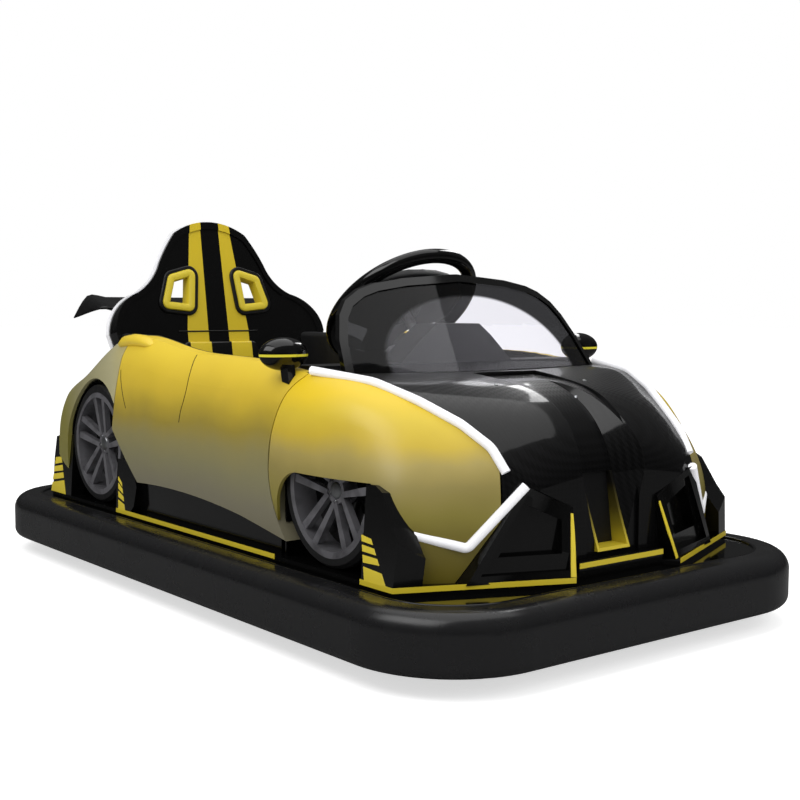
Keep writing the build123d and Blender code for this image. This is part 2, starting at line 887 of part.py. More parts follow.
# Corner pods with a stepped intake recess in their front face
pod_border = 15
intake_step = 12
intake_depth = 34
intake_ledge = 16
pod_face = Plane(
    origin=(*pod_outer_foot, skirt_top),
    x_dir=Vector(*pod_inner_foot, 0) - Vector(*pod_outer_foot, 0),
    z_dir=(Vector(*pod_inner_foot, 0) - Vector(*pod_outer_foot, 0)).cross(
        Vector(*pod_tip, pod_tip_z) - Vector(*pod_outer_foot, skirt_top)
    ),
)
pod_corners = [
    pod_face.to_local_coords(Vector(*corner))
    for corner in (
        (*pod_outer_foot, skirt_top),
        (*pod_inner_foot, skirt_top),
        (*pod_inner_head, pod_shoulder_z),
        (*pod_tip, pod_tip_z),
    )
]
with BuildPart() as pod_right:
    add(pod_block(0, 0))
    add(light_grooves.part, mode=Mode.SUBTRACT)
    for border, rise, depth in ((pod_border, 0, intake_step), (2 * pod_border, intake_ledge, intake_depth)):
        with BuildSketch(pod_face.offset(-depth)):
            Polygon(*[(corner.X, corner.Y) for corner in pod_corners], align=None)
            offset(amount=-border, kind=Kind.INTERSECTION)
            with Locations((pod_corners[1].X / 2, 0)):
                Rectangle(2 * pod_corners[1].X, 2 * (border + rise), mode=Mode.SUBTRACT)
        extrude(amount=overall_width, mode=Mode.SUBTRACT)
save(pod_right.part, "front_pod_right")
save(mirrored(pod_right.part), "front_pod_left")

# Grille: liner of the pocket, open to the front and the top, and the plain plate at its back
with BuildPart() as grille_surround:
    with BuildSketch(side_plane(grille_half)):
        Polygon(*grille_side, align=None)
    extrude(amount=2 * grille_half)
    with BuildSketch(Plane.XY.offset(grille_sill_z + grille_wall)):
        with Locations((nose_x, 0)):
            Rectangle(overall_width, 2 * (grille_half - grille_wall))
    extrude(amount=overall_width, mode=Mode.SUBTRACT)
save(grille_surround.part, "grille_surround")

with BuildPart() as grille:
    with BuildSketch(side_plane(grille_half - grille_wall - fit_gap)):
        Polygon(
            (grille_panel_foot_x, grille_sill_z + grille_wall + fit_gap),
            (grille_panel_head_x, grille_top_z),
            (grille_panel_head_x - grille_panel_thickness, grille_top_z),
            (grille_panel_foot_x - grille_panel_thickness, grille_sill_z + grille_wall + fit_gap),
            align=None,
        )
    extrude(amount=2 * (grille_half - grille_wall - fit_gap))
save(grille.part, "grille")

# Dashboard with the column bearing
dash_back_x = 300
dash_bottom = 470
dash_top = 548
binnacle = [(-162, 548), (-100, 604), (-62, 632), (62, 632), (100, 604), (162, 548)]
column = Plane(
    origin=wheel_centre,
    x_dir=(0, -1, 0),
    z_dir=(-math.cos(math.radians(steering_lean)), 0, math.sin(math.radians(steering_lean))),
)
binnacle_setback = 12
binnacle_depth = 72
boss_start = 110
boss_end = 232
shaft_end = 240
shaft_bore_end = 260
with BuildPart() as dashboard:
    with BuildSketch(section_plane(dash_back_x)):
        with Locations((0, (dash_bottom + dash_top) / 2)):
            Rectangle(2 * (cockpit_half_width - cockpit_overlap - fit_gap), dash_top - dash_bottom)
    extrude(amount=hood_back_x - dash_back_x - panel_gap / 2)
    with BuildSketch(section_plane(dash_back_x + binnacle_setback)):
        Polygon(*binnacle, align=None)
    extrude(amount=binnacle_depth)
    with BuildSketch(column.offset(-boss_end)):
        Circle(boss_radius)
    extrude(amount=boss_end - boss_start)
    with BuildSketch(column.offset(-shaft_bore_end)):
        Circle(shaft_radius + running_clearance)
    extrude(amount=shaft_bore_end, mode=Mode.SUBTRACT)
save(dashboard.part, "dashboard")

# Bulkhead that closes the footwell in front
bulkhead_thickness = 6
with BuildPart() as bulkhead:
    with BuildSketch(section_plane(footwell_front_x)):
        with Locations((0, (deck_top + dash_top) / 2)):
            Rectangle(
                2 * (cockpit_half_width - cockpit_overlap),
                dash_top - deck_top + 2 * overall_width,
            )
    extrude(amount=bulkhead_thickness)
    add(disc_space, mode=Mode.INTERSECT)
    with BuildSketch(Plane.XY.offset(-overall_width)):
        Rectangle(2 * overall_length, 2 * overall_width)
    extrude(amount=overall_width + deck_top, mode=Mode.SUBTRACT)
save(bulkhead.part, "bulkhead")

# Accelerator pedal in front of the bulkhead
pedal_y = -95
pedal_width = 60
pedal_outline = [(402, 152), (402, 172), (378, 250), (386, 252), (418, 164), (426, 152)]
with BuildPart() as foot_pedal:
    with BuildSketch(side_plane(pedal_y + pedal_width / 2)):
        Polygon(*pedal_outline, align=None)
    extrude(amount=pedal_width)
save(foot_pedal.part, "foot_pedal")

# Windscreen: plan arc drawn up a leaning direction, trimmed to its outline seen from the front
screen_rise = 260
screen_corner_z = 544
screen_wing = (-12, 20)
frame_lip = 4
frame_reach = 40
screen_outline = [
    (-358, 500), (-358, 540), (-345, 602), (-324, 653), (-300, 683),
    (-262, 706), (-222, 719), (-147, 731), (0, 742),
]


def screen_sheet(front, back, trim):
    """Leaning curved sheet from front to back of the screen's face, drawn in by trim all round."""
    with BuildPart() as sheet:
        with BuildSketch(Plane.XY.offset(screen_foot_z)):
            with BuildLine():
                lean_back = screen_lean * (screen_corner_z - screen_foot_z)
                corner_x, corner_y = screen_corner
                wing = (corner_x + lean_back + screen_wing[0], corner_y + screen_wing[1])
                bulge = screen_bulge_x + lean_back
                ThreePointArc((wing[0] + front, -wing[1]), (bulge + front, 0), (wing[0] + front, wing[1]))
                Line((wing[0] + front, wing[1]), (wing[0] - back, wing[1]))
                ThreePointArc((wing[0] - back, wing[1]), (bulge - back, 0), (wing[0] - back, -wing[1]))
                Line((wing[0] - back, -wing[1]), (wing[0] + front, -wing[1]))
            make_face()
        extrude(amount=screen_rise * math.hypot(1, screen_lean), dir=(-screen_lean, 0, 1))
        with BuildSketch(section_plane(0)):
            with BuildLine():
                Polyline(*screen_outline, *[(-y, z) for y, z in reversed(screen_outline[:-1])], close=True)
            make_face()
            if trim:
                offset(amount=-trim, kind=Kind.INTERSECTION)
        extrude(amount=overall_length, mode=Mode.INTERSECT)
    return sheet.part


with BuildPart() as screen_frame:
    add(screen_sheet(frame_lip, frame_depth - frame_lip, 0))
    add(screen_sheet(frame_reach, frame_reach, frame_bar), mode=Mode.SUBTRACT)
    add(clear_loft, mode=Mode.SUBTRACT)
    add(light_grooves.part, mode=Mode.SUBTRACT)
save(screen_frame.part, "screen_frame")

with BuildPart() as windscreen:
    add(screen_sheet(0, screen_thickness, frame_bar + fit_gap))
    add(clear_loft, mode=Mode.SUBTRACT)
save(windscreen.part, "windscreen")

# Mirrors: egg-shaped pods with a flat rear face, on short stalks
mirror_centre = (349, -432, 573)
mirror_face_x = 327
# columns: distance in front of the rear face, width, height
mirror_sections = [(0, 100, 58), (12, 112, 68), (30, 98, 58), (42, 62, 36), (47, 20, 12)]
mirror_stalk = [(338, 556), (352, 500), (376, 500), (366, 556)]
mirror_stalk_width = 18
with BuildPart() as mirror_right:
    for ahead, width, height in mirror_sections:
        with BuildSketch(section_plane(mirror_face_x + ahead)):
            with Locations((mirror_centre[1], mirror_centre[2])):
                Ellipse(width / 2, height / 2)
    loft()
    with BuildSketch(side_plane(mirror_centre[1] + mirror_stalk_width / 2)):
        Polygon(*mirror_stalk, align=None)
    extrude(amount=mirror_stalk_width)
    add(clear_loft, mode=Mode.SUBTRACT)
save(mirror_right.part, "mirror_right")
save(mirrored(mirror_right.part), "mirror_left")

# Seat back: outline in the leaning plane, local x along +Y, local y up the back
seat_plane = Plane(
    origin=(seat_x, 0, seat_z),
    x_dir=(0, 1, 0),
    z_dir=(math.cos(math.radians(seat_lean)), 0, math.sin(math.radians(seat_lean))),
)
seat_foot_v = -196
seat_foot_y = 200


def seat_outline_lines():
    """Closed outline of the seat back, half by half, in the leaning plane's own axes."""
    for m in (1, -1):
        ThreePointArc((m * 115, 359), (m * 148, 312), (m * 170, 273))
        ThreePointArc((m * 170, 273), (m * 201, 222), (m * 250, 184))
        ThreePointArc((m * 250, 184), (m * 312, 140), (m * 338, 70))
        Line((m * 338, 70), (m * 300, -60))
        Line((m * 300, -60), (m * seat_foot_y, seat_foot_v))
    ThreePointArc((-115, 359), (0, 394), (115, 359))
    Line((-seat_foot_y, seat_foot_v), (seat_foot_y, seat_foot_v))


bezel_corners = [(65, 255), (144, 233), (172, 146), (79, 136)]
seat_rim = 18
seat_rim_step = 4
seat_blend_y = 170
seat_wing_y = 338
seat_reach = 400
seat_bend = (250, 8)
seat_curl_rise = 22


def seat_profile(lift):
    """Block up the seat back whose front curls forward at the wings, its front moved by lift."""
    foot = Plane(
        origin=seat_plane.from_local_coords((0, seat_foot_v - 20, 0)),
        x_dir=(0, -1, 0),
        z_dir=seat_plane.y_dir,
    )
    back = -seat_thickness - 5
    curl = seat_wing + lift
    with BuildPart() as block:
        with BuildSketch(foot):
            with BuildLine():
                Polyline((-seat_reach, back), (seat_reach, back), (seat_reach, curl + seat_curl_rise))
                Line((seat_reach, curl + seat_curl_rise), (seat_wing_y, curl))
                ThreePointArc(
                    (seat_wing_y, curl), (seat_bend[0], seat_bend[1] + lift), (seat_blend_y, lift)
                )
                Line((seat_blend_y, lift), (-seat_blend_y, lift))
                ThreePointArc(
                    (-seat_blend_y, lift), (-seat_bend[0], seat_bend[1] + lift), (-seat_wing_y, curl)
                )
                Polyline((-seat_wing_y, curl), (-seat_reach, curl + seat_curl_rise), (-seat_reach, back))
            make_face()
        extrude(amount=2 * seat_reach)
    return block.part


def seat_outline_block(share):
    """Prism of the seat back's outline through its whole depth, at a share of its size."""
    with BuildPart() as block:
        with BuildSketch(seat_plane.offset(-seat_thickness)):
            with BuildLine():
                seat_outline_lines()
            make_face()
            scale(by=share)
        extrude(amount=seat_thickness + seat_wing)
    return block.part


with BuildPart() as seat_back:
    add(seat_outline_block(1))
    add(seat_profile(0), mode=Mode.INTERSECT)
    with BuildPart(mode=Mode.PRIVATE) as seat_panel:
        add(seat_outline_block(1 - seat_rim / seat_wing_y))
        add(seat_profile(-seat_rim_step), mode=Mode.SUBTRACT)
    add(seat_panel.part, mode=Mode.SUBTRACT)
    for side in (1, -1):
        with BuildSketch(seat_plane.offset(-seat_thickness)):
            Polygon(*[(side * u, v) for u, v in bezel_corners], align=None)
        extrude(amount=seat_thickness + seat_wing, mode=Mode.SUBTRACT)
    with BuildSketch(Plane.XY):
        Rectangle(2 * overall_length, overall_width)
    extrude(amount=seat_box_top, mode=Mode.SUBTRACT)
save(seat_back.part, "seat_back")

# Bezels round the seat's two openings
bezel_stand = 3
with BuildPart() as seat_bezels:
    for side in (1, -1):
        with BuildSketch(seat_plane.offset(-seat_thickness)):
            Polygon(*[(side * u, v) for u, v in bezel_corners], align=None)
            offset(amount=-fit_gap, kind=Kind.INTERSECTION)
            with BuildSketch(mode=Mode.SUBTRACT):
                Polygon(*[(side * u, v) for u, v in bezel_corners], align=None)
                offset(amount=-bezel_width, kind=Kind.INTERSECTION)
        extrude(amount=seat_thickness + bezel_stand)
save(seat_bezels.part, "seat_bezels")

# Light strip along the seat's rear edge
seat_light_back = seat_thickness - 6
seat_light_foot = 20
with BuildPart() as seat_light:
    with BuildSketch(seat_plane.offset(-seat_light_back)):
        with BuildLine():
            seat_outline_lines()
        make_face()
        offset(amount=seat_light_size)
        with BuildLine():
            seat_outline_lines()
        make_face(mode=Mode.SUBTRACT)
        with Locations((0, seat_foot_v)):
            Rectangle(2 * overall_width, 2 * (-seat_foot_v - seat_light_foot), mode=Mode.SUBTRACT)
    extrude(amount=seat_light_size)
save(seat_light.part, "seat_light")

# Seat box and cushion
with BuildPart() as seat_box:
    with BuildSketch(Plane.XY.offset(deck_top)):
        with Locations((sum(seat_box_x) / 2, 0)):
            Rectangle(seat_box_x[1] - seat_box_x[0], 2 * seat_box_half)
    extrude(amount=seat_box_top - deck_top)
    fillet(seat_box.edges().filter_by(Axis.Z), 20)
    offset(amount=-box_wall, openings=seat_box.faces().sort_by(Axis.Z)[0])
save(seat_box.part, "seat_box")

with BuildPart() as seat_cushion:
    with BuildSketch(Plane.XY.offset(seat_box_top)):
        with Locations((sum(cushion_x) / 2, 0)):
            RectangleRounded(cushion_x[1] - cushion_x[0], 2 * cushion_half, 35)
    extrude(amount=cushion_height)
    fillet(seat_cushion.faces().sort_by(Axis.Z)[-1].edges(), 22)
save(seat_cushion.part, "seat_cushion")

# Battery: one closed block on the deck, inside the seat box
battery_size = (300, 330, 150)
with BuildPart() as battery_pack:
    with BuildSketch(Plane.XY.offset(deck_top)):
        with Locations((sum(seat_box_x) / 2, 0)):
            Rectangle(battery_size[0], battery_size[1])
    extrude(amount=battery_size[2])
save(battery_pack.part, "battery_pack")

# Rear wing: blade with tips turned down on two struts
wing_half = 362
wing_tip_outline = [(-736, 700), (-852, 696), (-858, 660), (-790, 640), (-745, 650)]
wing_tip_thickness = 10
strut_y = 150
strut_thickness = 12
strut_outline = [(-680, 400), (-708, 388), (-806, 668), (-766, 668)]
with BuildPart() as rear_wing:
    with BuildSketch(side_plane(0)):
        with BuildLine():
            Line((-738, 676), (-752, 694))
            ThreePointArc((-752, 694), (-800, 676), (-850, 690))
            Line((-850, 690), (-852, 680))
            ThreePointArc((-852, 680), (-795, 656), (-742, 664))
            Line((-742, 664), (-738, 676))
        make_face()
    extrude(amount=wing_half, both=True)
    with BuildSketch(side_plane(wing_half)):
        Polygon(*wing_tip_outline, align=None)
    extrude(amount=-wing_tip_thickness)
    mirror(about=Plane.XZ)
    for y in (strut_y, -strut_y):
        with BuildSketch(side_plane(y + strut_thickness / 2)):
            Polygon(*strut_outline, align=None)
        extrude(amount=strut_thickness)
    with BuildPart(mode=Mode.PRIVATE) as tail_clear:
        add(clear_loft)
        add(rear_profile(-fit_gap), mode=Mode.INTERSECT)
    add(tail_clear.part, mode=Mode.SUBTRACT)
save(rear_wing.part, "rear_wing")

# Chassis: two rails under cross members that reach the ring, all square tube
frame_top = deck_top - deck_thickness
cross_stations = (frame_back_x, rear_x, -60, deck_seam_x, frame_front_x)
cross_half = overall_width / 2 - ring_width - fit_gap
with BuildPart() as cross_members:
    with BuildSketch(Plane.XY.offset(frame_top - tube_size)):
        for x in cross_stations:
            with Locations((x, 0)):
                Rectangle(tube_size, 2 * cross_half)
    extrude(amount=tube_size)
save(cross_members.part, "cross_members")

rail_middle_x = (frame_back_x + frame_front_x) / 2
with BuildPart() as chassis_rails:
    with BuildSketch(Plane.XY.offset(frame_top - 2 * tube_size)):
        with Locations((rail_middle_x, -rail_y), (rail_middle_x, rail_y)):
            Rectangle(frame_front_x - frame_back_x + tube_size, tube_size)
    extrude(amount=tube_size)
save(chassis_rails.part, "chassis_rails")

# Rear brackets: plate forks under the second cross member, with the fixed axles
bracket_length = 60
bracket_head_half = 28
bracket_foot_half = 14
bracket_foot_z = rear_radius - 16
with BuildPart() as rear_brackets:
    for y in (-rear_y, rear_y):
        half = rear_width / 2 + rear_side_gap
        with BuildSketch(Plane.XY.offset(frame_top - tube_size - rear_plate)):
            with Locations((rear_x, y)):
                Rectangle(bracket_length, 2 * (half + rear_plate))
        extrude(amount=rear_plate)
        for inner in (y - half - rear_plate, y + half):
            with BuildSketch(side_plane(inner + rear_plate)):
                Polygon(
                    (rear_x - bracket_head_half, frame_top - tube_size - rear_plate),
                    (rear_x + bracket_head_half, frame_top - tube_size - rear_plate),
                    (rear_x + bracket_foot_half, bracket_foot_z),
                    (rear_x - bracket_foot_half, bracket_foot_z),
                    align=None,
                )
            extrude(amount=rear_plate)
        with BuildSketch(side_plane(y + half + rear_plate)):
            with Locations((rear_x, rear_radius)):
                Circle(rear_axle_radius)
        extrude(amount=2 * (half + rear_plate))
save(rear_brackets.part, "rear_brackets")

# Rear running wheels: hub with its bore, and tyre
rear_hub_radius = 34
rear_tyre_chamfer = 4
with BuildPart() as rear_hub:
    with BuildSketch(side_plane(rear_width / 2)):
        with Locations((rear_x, rear_radius)):
            Circle(rear_hub_radius)
            Circle(rear_axle_radius + running_clearance, mode=Mode.SUBTRACT)
    extrude(amount=rear_width)
with BuildPart() as rear_tyre:
    with BuildSketch(side_plane(rear_width / 2)):
        with Locations((rear_x, rear_radius)):
            Circle(rear_radius)
            Circle(rear_hub_radius, mode=Mode.SUBTRACT)
    extrude(amount=rear_width)
    chamfer(rear_tyre.edges().filter_by(GeomType.CIRCLE).group_by(SortBy.RADIUS)[-1], rear_tyre_chamfer)
for side, y in (("right", -rear_y), ("left", rear_y)):
    save(rear_hub.part.moved(Location((0, y, 0))), "rear_hub_" + side)
    save(rear_tyre.part.moved(Location((0, y, 0))), "rear_tyre_" + side)

# Drive bridge over the drive wheel, with the spindle's bearing tube
post_y = 165
bridge_beam_z = 238
foot_size = (90, 44, 6)
bearing_radius = 32
with BuildPart() as drive_bridge:
    for y in (-post_y, post_y):
        with BuildSketch(Plane.XY.offset(deck_top)):
            with Locations((drive_x, y)):
                Rectangle(foot_size[0], foot_size[1])
        extrude(amount=foot_size[2])
        with BuildSketch(Plane.XY.offset(deck_top)):
            with Locations((drive_x, y)):
                Rectangle(tube_size, tube_size)
        extrude(amount=bridge_beam_z + tube_size - deck_top)
    with BuildSketch(Plane.XY.offset(bridge_beam_z)):
        with Locations((drive_x, 0)):
            Rectangle(tube_size, 2 * post_y)
    extrude(amount=tube_size)
    with BuildSketch(Plane.XY.offset(bearing_bottom)):
        with Locations((drive_x, 0)):
            Circle(bearing_radius)
    extrude(amount=bearing_height)
    with BuildSketch(Plane.XY.offset(bearing_bottom)):
        with Locations((drive_x, 0)):
            Circle(spindle_radius + running_clearance)
    extrude(amount=bearing_height, mode=Mode.SUBTRACT)
save(drive_bridge.part, "drive_bridge")

# Drive fork: crown, two legs, axle and spindle
leg_inner = drive_width / 2 + fork_side_gap
crown_radius = leg_inner + fork_leg + 4
spindle_top = bearing_bottom + bearing_height + 8
leg_foot_half = 18
leg_head_half = 24
with BuildPart() as drive_fork:
    with BuildSketch(Plane.XY.offset(crown_bottom)):
        with Locations((drive_x, 0)):
            Circle(crown_radius)
    extrude(amount=crown_thickness)
    for facing in (-1, 1):
        inner = facing * (leg_inner + fork_leg / 2) + fork_leg / 2
        with BuildSketch(side_plane(inner)):
            with BuildLine():
                Polyline(
                    (drive_x - leg_foot_half, drive_radius),
                    (drive_x - leg_head_half, crown_bottom),
                    (drive_x + leg_head_half, crown_bottom),
                    (drive_x + leg_foot_half, drive_radius),
                )
                ThreePointArc(
                    (drive_x + leg_foot_half, drive_radius),
                    (drive_x, drive_radius - leg_foot_half),
                    (drive_x - leg_foot_half, drive_radius),
                )
            make_face()
        extrude(amount=fork_leg)
    with BuildSketch(side_plane(leg_inner + fork_leg)):
        with Locations((drive_x, drive_radius)):
            Circle(drive_axle_radius)
    extrude(amount=2 * (leg_inner + fork_leg))
    with BuildSketch(Plane.XY.offset(crown_bottom)):
        with Locations((drive_x, 0)):
            Circle(spindle_radius)
    extrude(amount=spindle_top - crown_bottom)
save(drive_fork.part, "drive_fork")

drive_hub_radius = 66
drive_tyre_chamfer = 7
with BuildPart() as drive_hub:
    with BuildSketch(side_plane(drive_width / 2)):
        with Locations((drive_x, drive_radius)):
            Circle(drive_hub_radius)
            Circle(drive_axle_radius + running_clearance, mode=Mode.SUBTRACT)
    extrude(amount=drive_width)
save(drive_hub.part, "drive_hub")
with BuildPart() as drive_tyre:
    with BuildSketch(side_plane(drive_width / 2)):
        with Locations((drive_x, drive_radius)):
            Circle(drive_radius)
            Circle(drive_hub_radius, mode=Mode.SUBTRACT)
    extrude(amount=drive_width)
    chamfer(drive_tyre.edges().filter_by(GeomType.CIRCLE).group_by(SortBy.RADIUS)[-1], drive_tyre_chamfer)
save(drive_tyre.part, "drive_tyre")

# Steering wheel on its shaft
wheel_hub_radius = 40
wheel_hub_depth = 34
wheel_spoke_width = 30
wheel_spoke_thickness = 12
with BuildPart(column) as steering_wheel:
    Torus(wheel_rim_radius, wheel_tube_radius)
    with BuildSketch(column.offset(-wheel_hub_depth / 2)):
        Circle(wheel_hub_radius)
    extrude(amount=wheel_hub_depth)
    with BuildSketch(column.offset(-wheel_spoke_thickness / 2)):
        with PolarLocations(0, 3, start_angle=-90):
            with Locations((wheel_rim_radius / 2, 0)):
                Rectangle(wheel_rim_radius, wheel_spoke_width)
        Circle(wheel_rim_radius, mode=Mode.INTERSECT)
    extrude(amount=wheel_spoke_thickness)
save(steering_wheel.part, "steering_wheel")
with BuildPart() as steering_shaft:
    with BuildSketch(column.offset(-shaft_end)):
        Circle(shaft_radius)
    extrude(amount=shaft_end - wheel_hub_depth / 2)
save(steering_shaft.part, "steering_shaft")

# Mirror glasses on the flat rear faces of the mirror bodies
glass_border = 5
glass_thickness = 2
with BuildPart() as mirror_glasses:
    with BuildSketch(Plane(origin=(mirror_face_x, 0, 0), x_dir=(0, -1, 0), z_dir=(-1, 0, 0))):
        with Locations((-mirror_centre[1], mirror_centre[2]), (mirror_centre[1], mirror_centre[2])):
            Ellipse(mirror_sections[0][1] / 2 - glass_border, mirror_sections[0][2] / 2 - glass_border)
    extrude(amount=glass_thickness)
save(mirror_glasses.part, "mirror_glasses")
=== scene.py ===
"""Looks of a battery bumper car: paint, rubber, glass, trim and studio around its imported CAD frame.

Lengths are metres in the car's own frame: +X the front, +Y the left side, +Z up, with the
origin on the floor below the bumper ring's centre. Sizes that follow the photograph are
written in millimetres and turned to metres by MM.
"""

import json
import logging
import math
from collections.abc import Sequence
from dataclasses import dataclass
from enum import Enum

import bmesh
import bpy
from mathutils import Matrix, Vector
from mathutils.bvhtree import BVHTree

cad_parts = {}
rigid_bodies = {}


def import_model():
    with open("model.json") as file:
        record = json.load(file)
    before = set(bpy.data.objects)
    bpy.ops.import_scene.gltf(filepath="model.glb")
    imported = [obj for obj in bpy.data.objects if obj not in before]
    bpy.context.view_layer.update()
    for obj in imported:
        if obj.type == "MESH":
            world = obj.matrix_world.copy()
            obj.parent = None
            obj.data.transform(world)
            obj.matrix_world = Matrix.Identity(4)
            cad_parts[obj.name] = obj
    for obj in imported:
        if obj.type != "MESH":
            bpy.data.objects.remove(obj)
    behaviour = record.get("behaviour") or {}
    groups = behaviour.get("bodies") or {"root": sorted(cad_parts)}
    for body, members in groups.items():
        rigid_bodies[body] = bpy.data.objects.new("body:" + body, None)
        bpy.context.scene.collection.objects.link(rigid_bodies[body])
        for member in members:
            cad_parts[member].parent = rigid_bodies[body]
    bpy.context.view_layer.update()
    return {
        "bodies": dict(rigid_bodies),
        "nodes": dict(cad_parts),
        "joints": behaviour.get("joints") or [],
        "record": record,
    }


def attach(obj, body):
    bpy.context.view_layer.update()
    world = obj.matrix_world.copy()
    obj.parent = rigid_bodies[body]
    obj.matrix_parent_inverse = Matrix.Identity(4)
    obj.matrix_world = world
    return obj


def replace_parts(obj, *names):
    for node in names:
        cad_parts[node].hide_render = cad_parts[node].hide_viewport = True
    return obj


MM = 0.001
UP = Vector((0, 0, 1))
LOG = logging.getLogger("bumper_car")

# Rays that look for a surface start this far out, clear of the car
OUTSIDE = 1.0
# Corners nearer than this are one corner; a closed sweep comes back to its start less exactly
WELD = 1e-6
SWEEP_WELD = 2e-5
# A sharp corner of a sweep is widened as for a turn of this cosine, and no further
SHARPEST = 0.3
# Parts round a dome and up it
DOME_PARTS = (20, 10)
# Nearly all of a noise lies between these values
NOISE_SPAN = (0.3, 0.7)
# No worn place is smoother than this
LEAST_ROUGHNESS = 0.02

Pair = tuple[float, float]
Triple = tuple[float, float, float]
Four = tuple[float, float, float, float]
Nodes = dict[str, bpy.types.Object]
Socket = bpy.types.NodeSocket
Tree = bpy.types.NodeTree
Inputs = dict[str | int, object]


class Body(Enum):
    """Bodies of the frame that a piece can ride on."""

    CAR = "root"
    STEERING = "steering"


class Slot(Enum):
    """Material slots of the record that the pieces here belong to."""

    DECK = "deck_black"
    GLOSS = "gloss_black"
    MATT = "matte_black"
    CARBON = "carbon_black"
    YELLOW = "trim_yellow"
    BODY = "body_yellow"
    ALLOY = "alloy_grey"
    STEEL = "steel_grey"
    LEATHER = "seat_leather"
    LIGHT = "light_white"


class Side(Enum):
    """Sides of the car, as the sign of Y."""

    RIGHT = -1
    LEFT = 1


def linear(code: str) -> Four:
    """Turn an sRGB hex colour into linear light, by the sRGB standard's own curve.

    Args:
        code: colour as "#rrggbb".

    Returns:
        Red, green, blue and an alpha of one.
    """
    channels = [int(code[at : at + 2], 16) / 255 for at in (1, 3, 5)]
    red, green, blue = (c / 12.92 if c <= 0.04045 else ((c + 0.055) / 1.055) ** 2.4 for c in channels)
    return red, green, blue, 1.0


def feed(tree: Tree, node: bpy.types.Node, inputs: Inputs) -> None:
    """Set or link a node's inputs.

    Args:
        tree: the node tree it stands in.
        node: the node.
        inputs: by socket name or number, a value, a hex colour, the output socket that feeds
            it, or a node whose first output does.
    """
    for name, value in inputs.items():
        source = value.outputs[0] if isinstance(value, bpy.types.Node) else value
        if isinstance(source, Socket):
            tree.links.new(source, node.inputs[name])
        else:
            node.inputs[name].default_value = linear(source) if isinstance(source, str) else source


def add_node(
    tree: Tree, kind: str, inputs: Inputs | Sequence[object] = (), **settings: object
) -> bpy.types.Node:
    """Add one node with its settings, input values and links.

    Args:
        tree: the node tree it goes into.
        kind: Blender's name for the type of node.
        inputs: what feed() takes, or a row of it for the first sockets.
        settings: properties by name; "stops" sets a ramp's places and hex colours.

    Returns:
        The new node.
    """
    node = tree.nodes.new(kind)
    for name, value in settings.items():
        if name == "stops":
            ramp = node.color_ramp
            while len(ramp.elements) < len(value):
                ramp.elements.new(1.0)
            for element, (place, code) in zip(ramp.elements, value):
                element.position = place
                element.color = linear(code)
        else:
            setattr(node, name, value)
    feed(tree, node, inputs if isinstance(inputs, dict) else dict(enumerate(inputs)))
    return node


def scale_of(size: float) -> float:
    """Scale of a noise or cell pattern whose features are size millimetres across."""
    return 1 / (size * MM)


@dataclass(frozen=True)
class Finish:
    """A surface of the car: colour, gloss, fine relief and worn patches."""

    name: str
    color: str
    roughness: float = 0.4
    metallic: float = 0.0
    coat: float = 0.0
    coat_roughness: float = 0.05
    ior: float = 1.5
    # Relief: size and depth in millimetres
    grain: Pair | None = (9.0, 0.03)
    # Worn patches: size in millimetres and detail, then what they do to the roughness
    patches: Pair = (70.0, 6.0)
    wear: Pair | None = (-0.04, 0.08)

    def material(self) -> bpy.types.Material:
        """Build the material once, and give the same one after that.

        Returns:
            The material of this finish.
        """
        known = bpy.data.materials.get(self.name)
        if known:
            return known
        material = bpy.data.materials.new(self.name)
        material.use_nodes = True
        tree = material.node_tree
        tree.nodes.clear()
        values: Inputs = {
            "Base Color": self.color,
            "Roughness": self.roughness,
            "Metallic": self.metallic,
            "Coat Weight": self.coat,
            "Coat Roughness": self.coat_roughness,
        }
        if not self.metallic:
            values["IOR"] = self.ior
        shader = add_node(tree, "ShaderNodeBsdfPrincipled", values)
        add_node(tree, "ShaderNodeOutputMaterial", {"Surface": shader})
        place = add_node(tree, "ShaderNodeTexCoord").outputs["Object"]
        feed(tree, shader, self.dress(tree, place))
        return material

    def worn(self, low: float, high: float) -> Pair:
        """Roughness between low and high more than the finish has, but never too smooth."""
        return max(self.roughness + low, LEAST_ROUGHNESS), self.roughness + high

    def dress(self, tree: Tree, place: Socket) -> Inputs:
        """Add the fine relief and the uneven gloss.

        Args:
            tree: the material's node tree.
            place: the place on the object.

        Returns:
            What goes into the shader's sockets.
        """
        fed: Inputs = {}
        if self.grain:
            size, depth = self.grain
            fine = add_node(
                tree, "ShaderNodeTexNoise", {"Vector": place, "Scale": scale_of(size), "Detail": 2.0}
            )
            bump = {"Height": fine, "Distance": depth * MM, "Strength": 1.0}
            fed["Normal"] = add_node(tree, "ShaderNodeBump", bump)
        if self.wear:
            size, detail = self.patches
            marks = add_node(
                tree, "ShaderNodeTexNoise", {"Vector": place, "Scale": scale_of(size), "Detail": detail}
            )
            spread = (marks, *NOISE_SPAN, *self.worn(*self.wear))
            fed["Roughness"] = add_node(tree, "ShaderNodeMapRange", spread)
        return fed


@dataclass(frozen=True)
class MouldedPlastic(Finish):
    """Injection-moulded or rotomoulded plastic: a faint orange peel and handling marks."""


